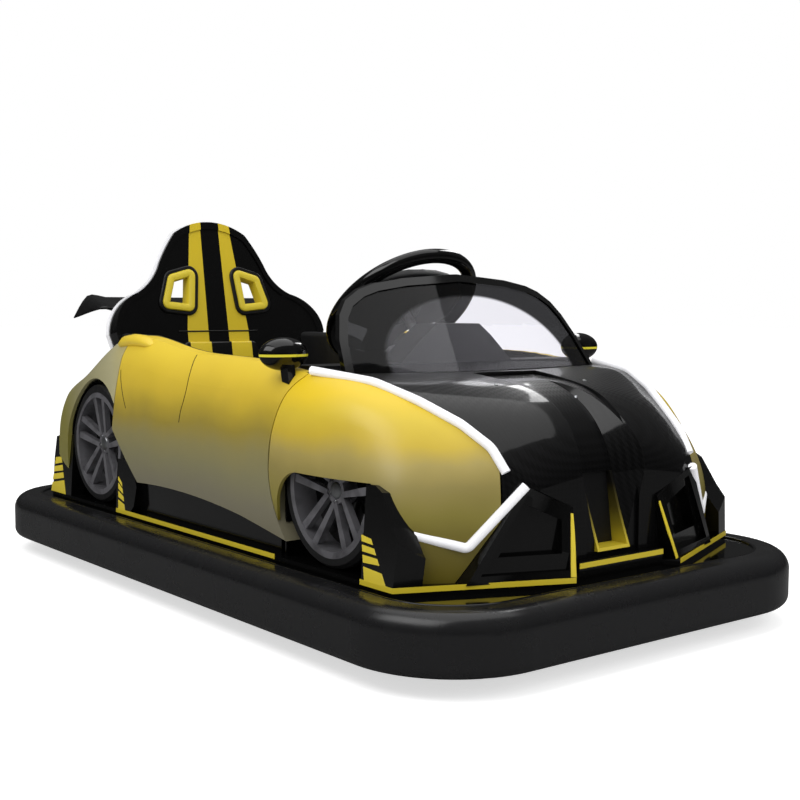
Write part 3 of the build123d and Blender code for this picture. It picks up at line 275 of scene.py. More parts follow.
@dataclass(frozen=True)
class PaintedShadeGelCoat(Finish):
    """Yellow gel coat under clear lacquer, with painted shade that darkens it to olive grey low down.

    The painted shade is read along one slanted direction of the car, from lead (0) to trail (1).
    Faces nearer to the middle plane than lining are the cockpit's black lining.
    """

    grain: Pair | None = (14.0, 0.03)
    patches: Pair = (90.0, 5.0)
    wear: Pair | None = (-0.03, 0.06)
    lead: Triple = (0.0, 0.0, 0.55)
    trail: Triple = (0.0, 0.0, 0.20)
    stops: tuple[tuple[float, str], ...] = ((0.0, "#E9CB22"), (1.0, "#8E8766"))
    # Soft clouds in the painted shade: size in millimetres, detail, and how far they carry the shade
    cloud: Triple = (160.0, 3.0, 0.2)
    lining: float = 0.0
    lining_color: str = "#0B0B0B"

    def dress(self, tree: Tree, place: Socket) -> Inputs:
        """Add the painted shade's gradient with its clouds, and the black lining.

        Args:
            tree: the material's node tree.
            place: the place on the object.

        Returns:
            What goes into the shader's sockets.
        """
        run = Vector(self.trail) - Vector(self.lead)
        step = run / run.length_squared
        size, detail, reach = self.cloud
        start = add_node(tree, "ShaderNodeVectorMath", (place, self.lead), operation="SUBTRACT")
        along = add_node(tree, "ShaderNodeVectorMath", (start, step[:]), operation="DOT_PRODUCT")
        cloud = add_node(
            tree, "ShaderNodeTexNoise", {"Vector": place, "Scale": scale_of(size), "Detail": detail}
        )
        shift = add_node(tree, "ShaderNodeMath", (cloud, reach, -reach / 2), operation="MULTIPLY_ADD")
        shade = add_node(tree, "ShaderNodeMath", (along.outputs["Value"], shift), operation="ADD")
        color = add_node(tree, "ShaderNodeValToRGB", {"Fac": shade}, stops=self.stops).outputs["Color"]
        if self.lining:
            split = add_node(tree, "ShaderNodeSeparateXYZ", {"Vector": place})
            off = add_node(tree, "ShaderNodeMath", (split.outputs["Y"],), operation="ABSOLUTE")
            inside = add_node(tree, "ShaderNodeMath", (off, self.lining), operation="LESS_THAN")
            colors = {0: inside, 6: color, 7: self.lining_color}
            color = add_node(tree, "ShaderNodeMix", colors, data_type="RGBA").outputs[2]
        return {**super().dress(tree, place), "Base Color": color}


@dataclass(frozen=True)
class CarbonWeave(Finish):
    """Carbon twill under clear lacquer: tows of two directions that catch the light in turn.

    The real tow of 3 mm would be finer than a pixel here, so it is drawn at tow millimetres.
    """

    wear: Pair | None = (-0.08, 0.12)
    tow: float = 5.0
    light: str = "#0D0D0E"
    # Share of the light colour: how far a tow changes it, and its middle
    contrast: Pair = (0.35, 0.45)
    relief: float = 0.05
    relief_strength: float = 0.5

    def dress(self, tree: Tree, place: Socket) -> Inputs:
        """Add two crossing rows of tows, each domed, with a stepped diagonal between them.

        Args:
            tree: the material's node tree.
            place: the place on the object.

        Returns:
            What goes into the shader's sockets.
        """
        split = add_node(tree, "ShaderNodeSeparateXYZ", {"Vector": place}).outputs
        pitch = math.pi / (self.tow * MM)
        slant = add_node(tree, "ShaderNodeMath", (split["X"], split["Z"]), operation="ADD")
        along = add_node(tree, "ShaderNodeMath", (slant, pitch), operation="MULTIPLY")
        across = add_node(tree, "ShaderNodeMath", (split["Y"], pitch), operation="MULTIPLY")
        warp = add_node(tree, "ShaderNodeMath", (along,), operation="SINE")
        weft = add_node(tree, "ShaderNodeMath", (across,), operation="SINE")
        rows = add_node(tree, "ShaderNodeMath", (warp, weft), operation="SUBTRACT")
        both = add_node(tree, "ShaderNodeMath", (along, across), operation="ADD")
        step = add_node(tree, "ShaderNodeMath", (both,), operation="SINE")
        twill = add_node(tree, "ShaderNodeMath", (rows, step), operation="MULTIPLY")
        share = add_node(tree, "ShaderNodeMath", (twill, *self.contrast), operation="MULTIPLY_ADD")
        colors = {0: share, 6: self.color, 7: self.light}
        bump = {"Height": twill, "Distance": self.relief * MM, "Strength": self.relief_strength}
        spread = (share, *NOISE_SPAN, *self.worn(*self.wear))
        return {
            "Base Color": add_node(tree, "ShaderNodeMix", colors, data_type="RGBA").outputs[2],
            "Normal": add_node(tree, "ShaderNodeBump", bump),
            "Roughness": add_node(tree, "ShaderNodeMapRange", spread),
        }


@dataclass(frozen=True)
class SmokedAcrylic(Finish):
    """Cast acrylic screen, clear in the middle and dyed dark round a soft-edged oval."""

    grain: Pair | None = (120.0, 0.02)
    wear: Pair | None = None
    rim: str = "#343436"
    # The oval: its centre as Y and Z, half its width and height, and where its edge starts and ends
    middle: Pair = (0.0, 0.548)
    half: Pair = (0.262, 0.146)
    fade: Pair = (0.98, 1.02)
    haze: float = 0.012

    def dress(self, tree: Tree, place: Socket) -> Inputs:
        """Let light through the sheet, less outside the oval, with a faint wave in it.

        Args:
            tree: the material's node tree.
            place: the place on the object.

        Returns:
            What goes into the shader's sockets.
        """
        split = add_node(tree, "ShaderNodeSeparateXYZ", {"Vector": place}).outputs
        squares = []
        for value, centre, size in zip((split["Y"], split["Z"]), self.middle, self.half):
            off = add_node(tree, "ShaderNodeMath", (value, centre), operation="SUBTRACT")
            reach = add_node(tree, "ShaderNodeMath", (off, size), operation="DIVIDE")
            away = add_node(tree, "ShaderNodeMath", (reach,), operation="ABSOLUTE")
            squares.append(add_node(tree, "ShaderNodeMath", (away, 2.0), operation="POWER"))
        total = add_node(tree, "ShaderNodeMath", squares, operation="ADD")
        ring = add_node(tree, "ShaderNodeMath", (total,), operation="SQRT")
        share = add_node(tree, "ShaderNodeMapRange", (ring, *self.fade, 0.0, 1.0))
        colors = {0: share, 6: self.color, 7: self.rim}
        return {
            **super().dress(tree, place),
            "Transmission Weight": 1 - self.haze,
            "Base Color": add_node(tree, "ShaderNodeMix", colors, data_type="RGBA").outputs[2],
        }


@dataclass(frozen=True)
class PaintedGlowTube(Finish):
    """Opal polycarbonate tube with a painted soft glow that brightens its white, though the lamps inside
    are not lit.
    """

    grain: Pair | None = (4.0, 0.01)
    wear: Pair | None = None
    glow: float = 0.12
    # Patches of the painted glow: size in millimetres, detail, and what they take off the glow
    dim: Triple = (25.0, 2.0, 0.1)

    def dress(self, tree: Tree, place: Socket) -> Inputs:
        """Add the painted glow, a little weaker in soft patches.

        Args:
            tree: the material's node tree.
            place: the place on the object.

        Returns:
            What goes into the shader's sockets.
        """
        size, detail, less = self.dim
        # This noise only makes the painted glow uneven
        lamps = add_node(
            tree, "ShaderNodeTexNoise", {"Vector": place, "Scale": scale_of(size), "Detail": detail}
        )
        spread = (lamps, *NOISE_SPAN, self.glow * (1 - less), self.glow * (1 + less))
        return {
            **super().dress(tree, place),
            "Emission Color": self.color,
            "Emission Strength": add_node(tree, "ShaderNodeMapRange", spread),
        }


@dataclass(frozen=True)
class CastMetal(Finish):
    """Sand-cast or painted metal: a fine uneven skin, with dust that has settled in patches."""

    grain: Pair | None = (3.0, 0.05)
    patches: Pair = (45.0, 6.0)
    wear: Pair | None = (-0.05, 0.15)
    stain: str = "#3A3A3C"
    # Values of the patches' noise between which the dust thickens
    settled: Pair = (0.45, 0.75)

    def dress(self, tree: Tree, place: Socket) -> Inputs:
        """Add dust patches over the cast skin.

        Args:
            tree: the material's node tree.
            place: the place on the object.

        Returns:
            What goes into the shader's sockets.
        """
        size, detail = self.patches
        dust = add_node(
            tree, "ShaderNodeTexNoise", {"Vector": place, "Scale": scale_of(size), "Detail": detail}
        )
        share = add_node(tree, "ShaderNodeMapRange", (dust, *self.settled, 0.0, 1.0))
        mixed = add_node(
            tree, "ShaderNodeMix", {0: share, 6: self.color, 7: self.stain}, data_type="RGBA"
        )
        return {**super().dress(tree, place), "Base Color": mixed.outputs[2]}


@dataclass(frozen=True)
class Rubber(Finish):
    """Vulcanised rubber: matt, with a fine grain and scuffed patches."""

    grain: Pair | None = (1.5, 0.08)
    patches: Pair = (30.0, 5.0)
    wear: Pair | None = (-0.1, 0.1)


@dataclass(frozen=True)
class Vinyl(Finish):
    """Embossed seat vinyl: pebbled grain that breaks the highlight, worn where it is sat on."""

    grain: Pair | None = None
    patches: Pair = (60.0, 4.0)
    wear: Pair | None = (-0.08, 0.08)
    # Pebbles: size and depth in millimetres
    pebble: Pair = (1.6, 0.12)

    def dress(self, tree: Tree, place: Socket) -> Inputs:
        """Add the pebbles, as rounded cells.

        Args:
            tree: the material's node tree.
            place: the place on the object.

        Returns:
            What goes into the shader's sockets.
        """
        size, depth = self.pebble
        where = {"Vector": place, "Scale": scale_of(size)}
        cells = add_node(tree, "ShaderNodeTexVoronoi", where, feature="SMOOTH_F1").outputs["Distance"]
        bump = {"Height": cells, "Distance": depth * MM, "Strength": 1.0}
        return {**super().dress(tree, place), "Normal": add_node(tree, "ShaderNodeBump", bump)}


@dataclass(frozen=True)
class StripedShell(Finish):
    """Black gel coat of the seat with two yellow racing stripes that widen downwards."""

    grain: Pair | None = (12.0, 0.03)
    patches: Pair = (80.0, 5.0)
    wear: Pair | None = (-0.04, 0.06)
    stripe: str = "#C9B02C"
    # Height, and the inner and outer edge of a stripe there
    low: Triple = (0.600, 0.033, 0.100)
    high: Triple = (0.905, 0.029, 0.063)

    def dress(self, tree: Tree, place: Socket) -> Inputs:
        """Mask the stripes by their distance from the middle, at each height.

        Args:
            tree: the material's node tree.
            place: the place on the object.

        Returns:
            What goes into the shader's sockets.
        """
        split = add_node(tree, "ShaderNodeSeparateXYZ", {"Vector": place}).outputs
        off = add_node(tree, "ShaderNodeMath", (split["Y"],), operation="ABSOLUTE")
        (bottom, *starts), (top, *ends) = self.low, self.high
        inner, outer = (
            add_node(tree, "ShaderNodeMapRange", (split["Z"], bottom, top, start, end))
            for start, end in zip(starts, ends)
        )
        past = add_node(tree, "ShaderNodeMath", (off, inner), operation="GREATER_THAN")
        short = add_node(tree, "ShaderNodeMath", (off, outer), operation="LESS_THAN")
        mask = add_node(tree, "ShaderNodeMath", (past, short), operation="MULTIPLY")
        colors = {0: mask, 6: self.color, 7: self.stripe}
        mixed = add_node(tree, "ShaderNodeMix", colors, data_type="RGBA")
        return {**super().dress(tree, place), "Base Color": mixed.outputs[2]}


@dataclass(frozen=True)
class BandedShell(Finish):
    """Black moulding of a mirror with one thin yellow line round it at a height."""

    grain: Pair | None = (12.0, 0.02)
    wear: Pair | None = None
    stripe: str = "#D6CC3A"
    height: float = 0.5705
    half: float = 2.6 * MM

    def dress(self, tree: Tree, place: Socket) -> Inputs:
        """Mask the line by its height.

        Args:
            tree: the material's node tree.
            place: the place on the object.

        Returns:
            What goes into the shader's sockets.
        """
        split = add_node(tree, "ShaderNodeSeparateXYZ", {"Vector": place}).outputs
        above = add_node(tree, "ShaderNodeMath", (split["Z"], self.height), operation="SUBTRACT")
        off = add_node(tree, "ShaderNodeMath", (above,), operation="ABSOLUTE")
        mask = add_node(tree, "ShaderNodeMath", (off, self.half), operation="LESS_THAN")
        colors = {0: mask, 6: self.color, 7: self.stripe}
        mixed = add_node(tree, "ShaderNodeMix", colors, data_type="RGBA")
        return {**super().dress(tree, place), "Base Color": mixed.outputs[2]}


# Rotomoulded bumper plastic: charcoal with a satin shine that follows every round edge
RING_PLASTIC = MouldedPlastic("satin_bumper_plastic", "#161617", 0.24, grain=(14.0, 0.03))
# Thermoformed ABS with a mirror gloss: it shows the pinstripes again, upside down
DECK_ABS = MouldedPlastic("gloss_deck_abs", "#060606", 0.06, wear=(-0.015, 0.03))
# Black gel coat out of a polished mould: deep black with narrow highlights
BLACK_GLOSS = MouldedPlastic("gloss_black_gel_coat", "#060606", 0.10, wear=(-0.02, 0.04))
# Moulded ABS with a fine grain: no mirror image, only a soft sheen
BLACK_MATT = MouldedPlastic("grained_black_abs", "#0C0C0D", 0.5, grain=(2.0, 0.02))
# Laminated carbon twill, lacquered: a diagonal hatch below a clear shine
CARBON = CarbonWeave("lacquered_carbon_twill", "#020202", 0.4, coat=0.5, coat_roughness=0.07, ior=1.2)
# Gel coats with painted shade: sunny yellow above, darkening to olive grey towards the sill
SIDE_GEL = PaintedShadeGelCoat(
    "side_gel_coat_painted_shade",
    "#D8B92E",
    coat=0.1,
    coat_roughness=0.15,
    lead=(0.0, 0.0, 0.56),
    trail=(0.0, 0.0, 0.26),
    stops=(
        (0.0, "#DDBF30"), (0.12, "#D8B92E"), (0.27, "#C8AB2A"), (0.38, "#AE9628"), (0.50, "#94822E"),
        (0.65, "#867D4D"), (0.8, "#7C7754"), (1.0, "#746F5A"),
    ),
    lining=0.389,
)  # fmt: skip
FENDER_GEL = PaintedShadeGelCoat(
    "fender_gel_coat_painted_shade",
    "#DDBB1D",
    coat=0.1,
    coat_roughness=0.15,
    lead=(0.0, 0.0, 0.50),
    trail=(0.0, 0.0, 0.22),
    stops=(
        (0.0, "#DFBE1C"), (0.14, "#D0B52C"), (0.29, "#BFA42B"), (0.43, "#A08F4C"), (0.57, "#897C42"),
        (0.75, "#7E742E"), (0.9, "#6A5F18"),
    ),
)  # fmt: skip
QUARTER_GEL = PaintedShadeGelCoat(
    "quarter_gel_coat_painted_shade",
    "#A9A06A",
    coat=0.1,
    coat_roughness=0.15,
    lead=(-0.30, 0.0, 0.58),
    trail=(-0.62, 0.0, 0.30),
    stops=((0.0, "#B8AB6E"), (0.3, "#A8A27C"), (0.7, "#8A8560"), (1.0, "#7A7434")),
    lining=0.389,
)
# The side panel's gel coat in its top colour, without the painted shade
SIDE_GEL_PLAIN = MouldedPlastic("plain_side_gel_coat", "#DDBF30", coat=0.1, grain=(14.0, 0.03))
# The same lacquer in the nose opening, with painted shade that darkens its walls towards the top of the
# recess
LINER_YELLOW = PaintedShadeGelCoat(
    "shaded_liner_lacquer",
    "#B8A428",
    lead=(0.0, 0.0, 0.205),
    trail=(0.0, 0.0, 0.325),
    stops=((0.0, "#C4AF2A"), (0.3, "#87791F"), (0.6, "#4A4214"), (1.0, "#0C0B06")),
)
# Lacquered trim: even yellow with a low gloss
TRIM_YELLOW = MouldedPlastic("yellow_trim_lacquer", "#D3BD2B", 0.34, coat=0.2)
# Extruded opal polycarbonate: white all through, with a soft painted glow that brightens it
OPAL_TUBE = PaintedGlowTube("opal_light_tube", "#F1F1F4", 0.3, coat=0.2)
# Painted cast alloy: dull grey with dust in its corners
ALLOY = CastMetal("painted_cast_alloy", "#77767A", 0.42, metallic=0.55, stain="#4A494C")
# Vulcanised tyre rubber: matt black
TYRE = Rubber("tyre_rubber", "#101011", 0.62)
# Extruded seal rubber in seams and round openings; the same black also paints the shadow in the seat's
# fold
SEAL_AND_SHADOW_BLACK = Rubber("seal_rubber_and_shadow_black", "#050505", 0.5)
# Dyed cast acrylic: nearly clear, with a pale violet cast
SMOKED = SmokedAcrylic("smoked_acrylic_screen", "#F1F0F7", 0.02, ior=1.3)
# Float glass silvered on its back: a clean, sharp mirror image
SILVERED = CastMetal("silvered_mirror_glass", "#D8DADD", 0.04, metallic=1.0, stain="#C9CBCE")
# Polished black gel coat with masked stripes on the seat, and with one line on a mirror
SEAT_SHELL = StripedShell("striped_seat_gel_coat", "#070707", 0.12)
MIRROR_SHELL = BandedShell("banded_mirror_gel_coat", "#080808", 0.10)
# Vinyl with an embossed leather grain: a dull sheen broken by pebbles
SEAT_VINYL = Vinyl("embossed_seat_vinyl", "#101011", 0.5)
# Powder coat on welded tube: dark with a satin sheen
FRAME_PAINT = CastMetal("powder_coated_steel", "#1A1B1D", 0.45, stain="#2C2A27")
# Zinc plate on turned and pressed parts: bright, cool grey
BRIGHT_STEEL = CastMetal("zinc_plated_steel", "#A9ABAE", 0.35, metallic=1.0, stain="#7D7B76")
# Moulded lamp lens: deep red under a glossy skin
RED_LENS = MouldedPlastic("red_lamp_lens", "#8E0F12", 0.15, coat=0.8)


def finish_nodes(nodes: Nodes, finish: Finish, *names: str) -> None:
    """Give carried-over nodes a finish.

    Args:
        nodes: the frame's nodes by name.
        finish: what their surface is.
        names: the nodes that get it.
    """
    for name in names:
        mesh = nodes[name].data
        mesh.materials.clear()
        mesh.materials.append(finish.material())
    LOG.info("%s on %s", finish.name, ", ".join(names))


def add_piece(
    name: str, mesh: bpy.types.Mesh, finish: Finish, body: Body = Body.CAR
) -> bpy.types.Object:
    """Make a finished mesh a piece that rides on a body.

    Args:
        name: the piece's name.
        mesh: its mesh, in place.
        finish: what its surface is.
        body: the body it moves with.

    Returns:
        The new object.
    """
    mesh.materials.clear()
    mesh.materials.append(finish.material())
    piece = bpy.data.objects.new(name, mesh)
    bpy.context.scene.collection.objects.link(piece)
    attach(piece, body.value)
    LOG.info("piece %s, %d faces", name, len(mesh.polygons))
    return piece


def make_piece(
    name: str,
    shape: bmesh.types.BMesh,
    finish: Finish,
    body: Body = Body.CAR,
    crease: float = 35.0,
) -> bpy.types.Object:
    """Turn a finished shape into a piece, and free the shape.

    Args:
        name: the piece's name.
        shape: its bmesh, in place.
        finish: what its surface is.
        body: the body it moves with.
        crease: angle in degrees above which an edge stays sharp.

    Returns:
        The new object.
    """
    bmesh.ops.remove_doubles(shape, verts=shape.verts, dist=WELD)
    bmesh.ops.recalc_face_normals(shape, faces=shape.faces)
    mesh = bpy.data.meshes.new(name)
    shape.to_mesh(mesh)
    shape.free()
    mesh.shade_smooth()
    mesh.set_sharp_from_angle(angle=math.radians(crease))
    return add_piece(name, mesh, finish, body)


def both_sides(shape: bmesh.types.BMesh) -> None:
    """Add the mirror image of a shape across the car's middle plane.

    Args:
        shape: the bmesh, whose faces point out once its normals are recalculated.
    """
    copied = bmesh.ops.duplicate(shape, geom=shape.verts[:] + shape.edges[:] + shape.faces[:])["geom"]
    verts = [item for item in copied if isinstance(item, bmesh.types.BMVert)]
    bmesh.ops.scale(shape, vec=(1, -1, 1), verts=verts)


def add_block(
    shape: bmesh.types.BMesh,
    corners: Sequence[Vector],
    lift: Vector,
    edge: float = 0.0,
    segments: int = 2,
) -> None:
    """Add a block between an outline and its copy, with rounded edges.

    Args:
        shape: the bmesh it goes into.
        corners: its outline.
        lift: from that outline to its other face.
        edge: radius of all its edges.
        segments: parts of each rounding.
    """
    block = bmesh.new()
    face = block.faces.new([block.verts.new(corner) for corner in corners])
    grown = bmesh.ops.extrude_face_region(block, geom=[face], use_keep_orig=True)["geom"]
    verts = [item for item in grown if isinstance(item, bmesh.types.BMVert)]
    bmesh.ops.translate(block, vec=lift, verts=verts)
    bmesh.ops.recalc_face_normals(block, faces=block.faces)
    if edge:
        bmesh.ops.bevel(
            block,
            geom=block.edges[:],
            offset=edge,
            segments=segments,
            profile=0.5,
            affect="EDGES",
            material=-1,
            clamp_overlap=True,
        )
    merge_into(shape, block)


def merge_into(shape: bmesh.types.BMesh, other: bmesh.types.BMesh) -> None:
    """Move everything of another bmesh into a shape, and free it.

    Args:
        shape: the bmesh it goes into.
        other: the bmesh it comes from.
    """
    mesh = bpy.data.meshes.new("carried_over")
    other.to_mesh(mesh)
    other.free()
    shape.from_mesh(mesh)
    bpy.data.meshes.remove(mesh)


def station(place: Vector, ahead: Vector, up: Vector, size: Pair = (1.0, 1.0)) -> Matrix:
    """Frame for one section of a sweep.

    Args:
        place: where the section's origin goes.
        ahead: direction of the sweep there.
        up: direction that the section's local Y leans to.
        size: how much the section is stretched along its local X and Y.

    Returns:
        The matrix, with local X to the right of the sweep.
    """
    right = ahead.cross(up).normalized()
    raised = right.cross(ahead).normalized()
    frame = Matrix((right * size[0], raised * size[1], -ahead.normalized())).transposed().to_4x4()
    frame.translation = place
    return frame


def mitred_stations(
    path: Sequence[Vector], ups: Sequence[Vector], closed: bool = False, sizes: Sequence[float] = ()
) -> list[Matrix]:
    """Frames along a path for sweeping a section: local X to the path's right, local Y up.

    Args:
        path: its points.
        ups: the upright direction at each point, or one for all.
        closed: whether the last point joins the first.
        sizes: how large the section is at each point, if it changes.

    Returns:
        One matrix a point, widened at corners so that the sweep keeps its width.
    """
    stations = []
    count = len(path)
    for at, point in enumerate(path):
        before = path[at - 1] if at or closed else None
        after = path[(at + 1) % count] if at + 1 < count or closed else None
        into = (point - before).normalized() if before is not None else (after - point).normalized()
        out = (after - point).normalized() if after is not None else into
        ahead = (into + out).normalized()
        size = sizes[at] if sizes else 1.0
        stretch = size / max(ahead.dot(into), SHARPEST)
        stations.append(station(point, ahead, ups[at % len(ups)], (stretch, size)))
    return stations


def add_sweep(
    shape: bmesh.types.BMesh, section: Sequence[Pair], stations: Sequence[Matrix], closed: bool = False
) -> None:
    """Sweep a section along stations.

    Args:
        shape: the bmesh it goes into.
        section: outline in each station's local X and Y.
        stations: where the section stands, one after the other.
        closed: whether the sweep joins up with its start.
    """
    run = bmesh.new()
    outline = [stations[0] @ Vector((x, y, 0)) for x, y in section]
    first = face = run.faces.new([run.verts.new(corner) for corner in outline])
    previous = stations[0]
    for there in [*stations[1:], *(stations[:1] if closed else [])]:
        # The edges go along with the face, so that no old face stays inside the sweep
        grown = bmesh.ops.extrude_face_region(run, geom=[face, *face.edges])["geom"]
        face = next(item for item in grown if isinstance(item, bmesh.types.BMFace))
        bmesh.ops.transform(run, matrix=there @ previous.inverted(), verts=face.verts[:])
        previous = there
    if closed:
        bmesh.ops.delete(run, geom=[first, face], context="FACES_ONLY")
        bmesh.ops.remove_doubles(run, verts=run.verts, dist=SWEEP_WELD)
    bmesh.ops.recalc_face_normals(run, faces=run.faces)
    merge_into(shape, run)


def add_dome(shape: bmesh.types.BMesh, place: Vector, normal: Vector, radius: float, rise: float) -> None:
    """Add a domed stud on a surface.

    Args:
        shape: the bmesh it goes into.
        place: the middle of its foot.
        normal: the direction that it stands in.
        radius: half its width.
        rise: its height.
    """
    turn = UP.rotation_difference(normal).to_matrix().to_4x4()
    size = Matrix.Diagonal((radius, radius, rise, 1.0))
    frame = Matrix.Translation(place) @ turn @ size
    stud = bmesh.new()
    around, upward = DOME_PARTS
    bmesh.ops.create_uvsphere(stud, u_segments=around, v_segments=upward, radius=1.0)
    bmesh.ops.transform(stud, matrix=frame, verts=stud.verts)
    merge_into(shape, stud)


def rounded_path(corners: Sequence[Pair], radius: float, steps: int = 6) -> list[Pair]:
    """Round the corners of a closed outline.

    Args:
        corners: its corners, in order.
        radius: radius of each rounding.
        steps: parts of each arc.

    Returns:
        The points of the rounded outline.
    """
    points = []
    count = len(corners)
    for at in range(count):
        here = Vector(corners[at])
        into = (Vector(corners[at - 1]) - here).normalized()
        out = (Vector(corners[(at + 1) % count]) - here).normalized()
        half = into.angle(out) / 2
        setback = radius / math.tan(half)
        start, end = here + into * setback, here + out * setback
        centre = here + (into + out).normalized() * radius / math.sin(half)
        for step in range(steps + 1):
            spoke = (start - centre).normalized().slerp((end - centre).normalized(), step / steps)
            points.append(tuple(centre + spoke * radius))
    return points


def round_section(radius: float, steps: int = 12) -> list[Pair]:
    """Section of a round bar, as a polygon of so many steps."""
    turns = [2 * math.pi * at / steps for at in range(steps)]
    return [(radius * math.cos(turn), radius * math.sin(turn)) for turn in turns]


def flat_section(width: float, rise: float, sink: float = 0.0) -> list[Pair]:
    """Section of a flat band with its two outer edges cut off.

    Args:
        width: its width.
        rise: how far it stands proud.
        sink: how far it is let in.

    Returns:
        The outline, its local Y away from the surface.
    """
    half = width / 2
    soft = min(rise, half) / 2
    right = [(half, -sink), (half, rise - soft), (half - soft, rise)]
    return [(-half, -sink), *right, *[(-x, y) for x, y in reversed(right[1:])]]


class Skin:
    """Outer surface of some objects, to lay trim on."""

    def __init__(self, *objects: bpy.types.Object) -> None:
        """Gather the faces.

        Args:
            objects: the objects, which all stand at the origin.
        """
        corners: list[Vector] = []
        faces: list[list[int]] = []
        for thing in objects:
            start = len(corners)
            corners.extend(vert.co.copy() for vert in thing.data.vertices)
            faces.extend([start + at for at in face.vertices] for face in thing.data.polygons)
        self.tree = BVHTree.FromPolygons(corners, faces)

    def find(self, start: Vector, heading: Vector) -> tuple[Vector, Vector]:
        """Shoot at the surface.

        Args:
            start: where the ray starts.
            heading: where it flies.

        Returns:
            The place that it hits, and the normal there, which faces the start.
        """
        place, normal, _, _ = self.tree.ray_cast(start, heading)
        if place is None:
            raise ValueError(f"nothing from {start[:]} along {heading[:]}")
        return place, (-normal if normal.dot(heading) > 0 else normal)

    def lay(
        self,
        shape: bmesh.types.BMesh,
        starts: Sequence[Vector],
        heading: Vector,
        section: Sequence[Pair],
        sizes: Sequence[float] = (),
    ) -> None:
        """Lay a band on the surface, along the places that a row of rays hits.

        Args:
            shape: the bmesh it goes into.
            starts: where the rays start.
            heading: where they fly.
            section: the band's section, its local Y away from the surface.
            sizes: how large the section is at each place, if it changes.
        """
        hits = [self.find(start, heading) for start in starts]
        path, normals = [hit[0] for hit in hits], [hit[1] for hit in hits]
        add_sweep(shape, section, mitred_stations(path, normals, sizes=sizes))


def smooth_route(points: Sequence[Pair], parts: int = 8) -> list[Pair]:
    """Smooth cubic curve through a few points, level with its neighbours at each.

    Args:
        points: the points it passes.
        parts: pieces between two of them.

    Returns:
        Points along the curve.
    """
    route = []
    padded = [points[0], *points, points[-1]]
    for at in range(1, len(padded) - 2):
        before, here, there, after = (Vector(padded[at + step]) for step in (-1, 0, 1, 2))
        for part in range(parts):
            t = part / parts
            bend = (there - before) * t + (2 * before - 5 * here + 4 * there - after) * t * t
            bend += (3 * here - before - 3 * there + after) * t**3
            route.append(tuple(here + bend / 2))
    return [*route, tuple(points[-1])]


@dataclass
class BumperAndDeck:
    """Ring, deck plates and the black foot, with the trim bead over the seam between them."""

    seam_half: Pair = (0.903, 0.488)
    seam_corner: float = 0.154
    seam_height: float = 0.1525
    corner_parts: int = 12
    bead_radius: float = 4 * MM

    def build(self, nodes: Nodes) -> None:
        """Dress the ring and deck, and lay the bead.

        Args:
            nodes: the frame's nodes by name.
        """
        finish_nodes(nodes, RING_PLASTIC, "bumper_ring")
        finish_nodes(nodes, DECK_ABS, "deck", "deck_front")
        finish_nodes(nodes, BLACK_GLOSS, "base_skirt")
        bead = bmesh.new()
        x, y = self.seam_half
        corners = [(x, y), (-x, y), (-x, -y), (x, -y)]
        outline = rounded_path(corners, self.seam_corner, self.corner_parts)
        path = [Vector((*point, self.seam_height)) for point in outline]
        stations = mitred_stations(path, [UP], closed=True)
        add_sweep(bead, round_section(self.bead_radius), stations, closed=True)
        make_piece("deck_bead", bead, DECK_ABS)


@dataclass
class Pinstripes:
    """Yellow line along the body's foot, up the pods' inner edges and across the nose."""

    bottom: float = 161 * MM
    height: float = 10 * MM
    stand: float = 1.5 * MM
    let_in: float = 1 * MM
    # Right side of the car: x, y of each line, from the rear to the front
    side: tuple[Pair, ...] = ((-0.347, -0.475), (0.372, -0.475))
    front: tuple[Pair, ...] = ((0.661, -0.475), (0.758, -0.475), (0.895, -0.150))
    nose: tuple[Pair, ...] = ((0.8742, -0.120), (0.8742, 0.120))
    nose_rise: float = 19 * MM
    # Line up a pod's front face: y and z, and the size of the section
    pod: tuple[Triple, ...] = (
        (-0.1485, 0.1700, 1.15),
        (-0.1445, 0.1900, 1.10),
        (-0.1370, 0.2250, 1.00),
        (-0.1310, 0.2550, 0.85),
        (-0.1255, 0.2840, 0.60),
    )

    def line(self, shape: bmesh.types.BMesh, route: Sequence[Pair], bottom: float) -> None:
        """Add one flat line along a route.

        Args:
            shape: the bmesh it goes into.
            route: its corners as x and y.
            bottom: height of its lower edge.
        """
        section = ((0.0, 0.0), (self.stand, 0.0), (self.stand, self.height), (0.0, self.height))
        path = [Vector((x, y, bottom)) for x, y in route]
        add_sweep(shape, section, mitred_stations(path, [UP]))

    def build(self, nodes: Nodes) -> None:
        """Lay all lines as one piece.

        Args:
            nodes: the frame's nodes by name.
        """
        lines = bmesh.new()
        self.line(lines, self.side, self.bottom)
        self.line(lines, self.front, self.bottom)
        pod = Skin(nodes["front_pod_right"])
        starts = [Vector((OUTSIDE, y, z)) for y, z, _ in self.pod]
        sizes = [size for _, _, size in self.pod]
        section = flat_section(self.height, self.stand, self.let_in)
        pod.lay(lines, starts, Vector((-1, 0, 0)), section, sizes)
        both_sides(lines)
        self.line(lines, self.nose, self.bottom + self.nose_rise)
        make_piece("foot_pinstripes", lines, TRIM_YELLOW)


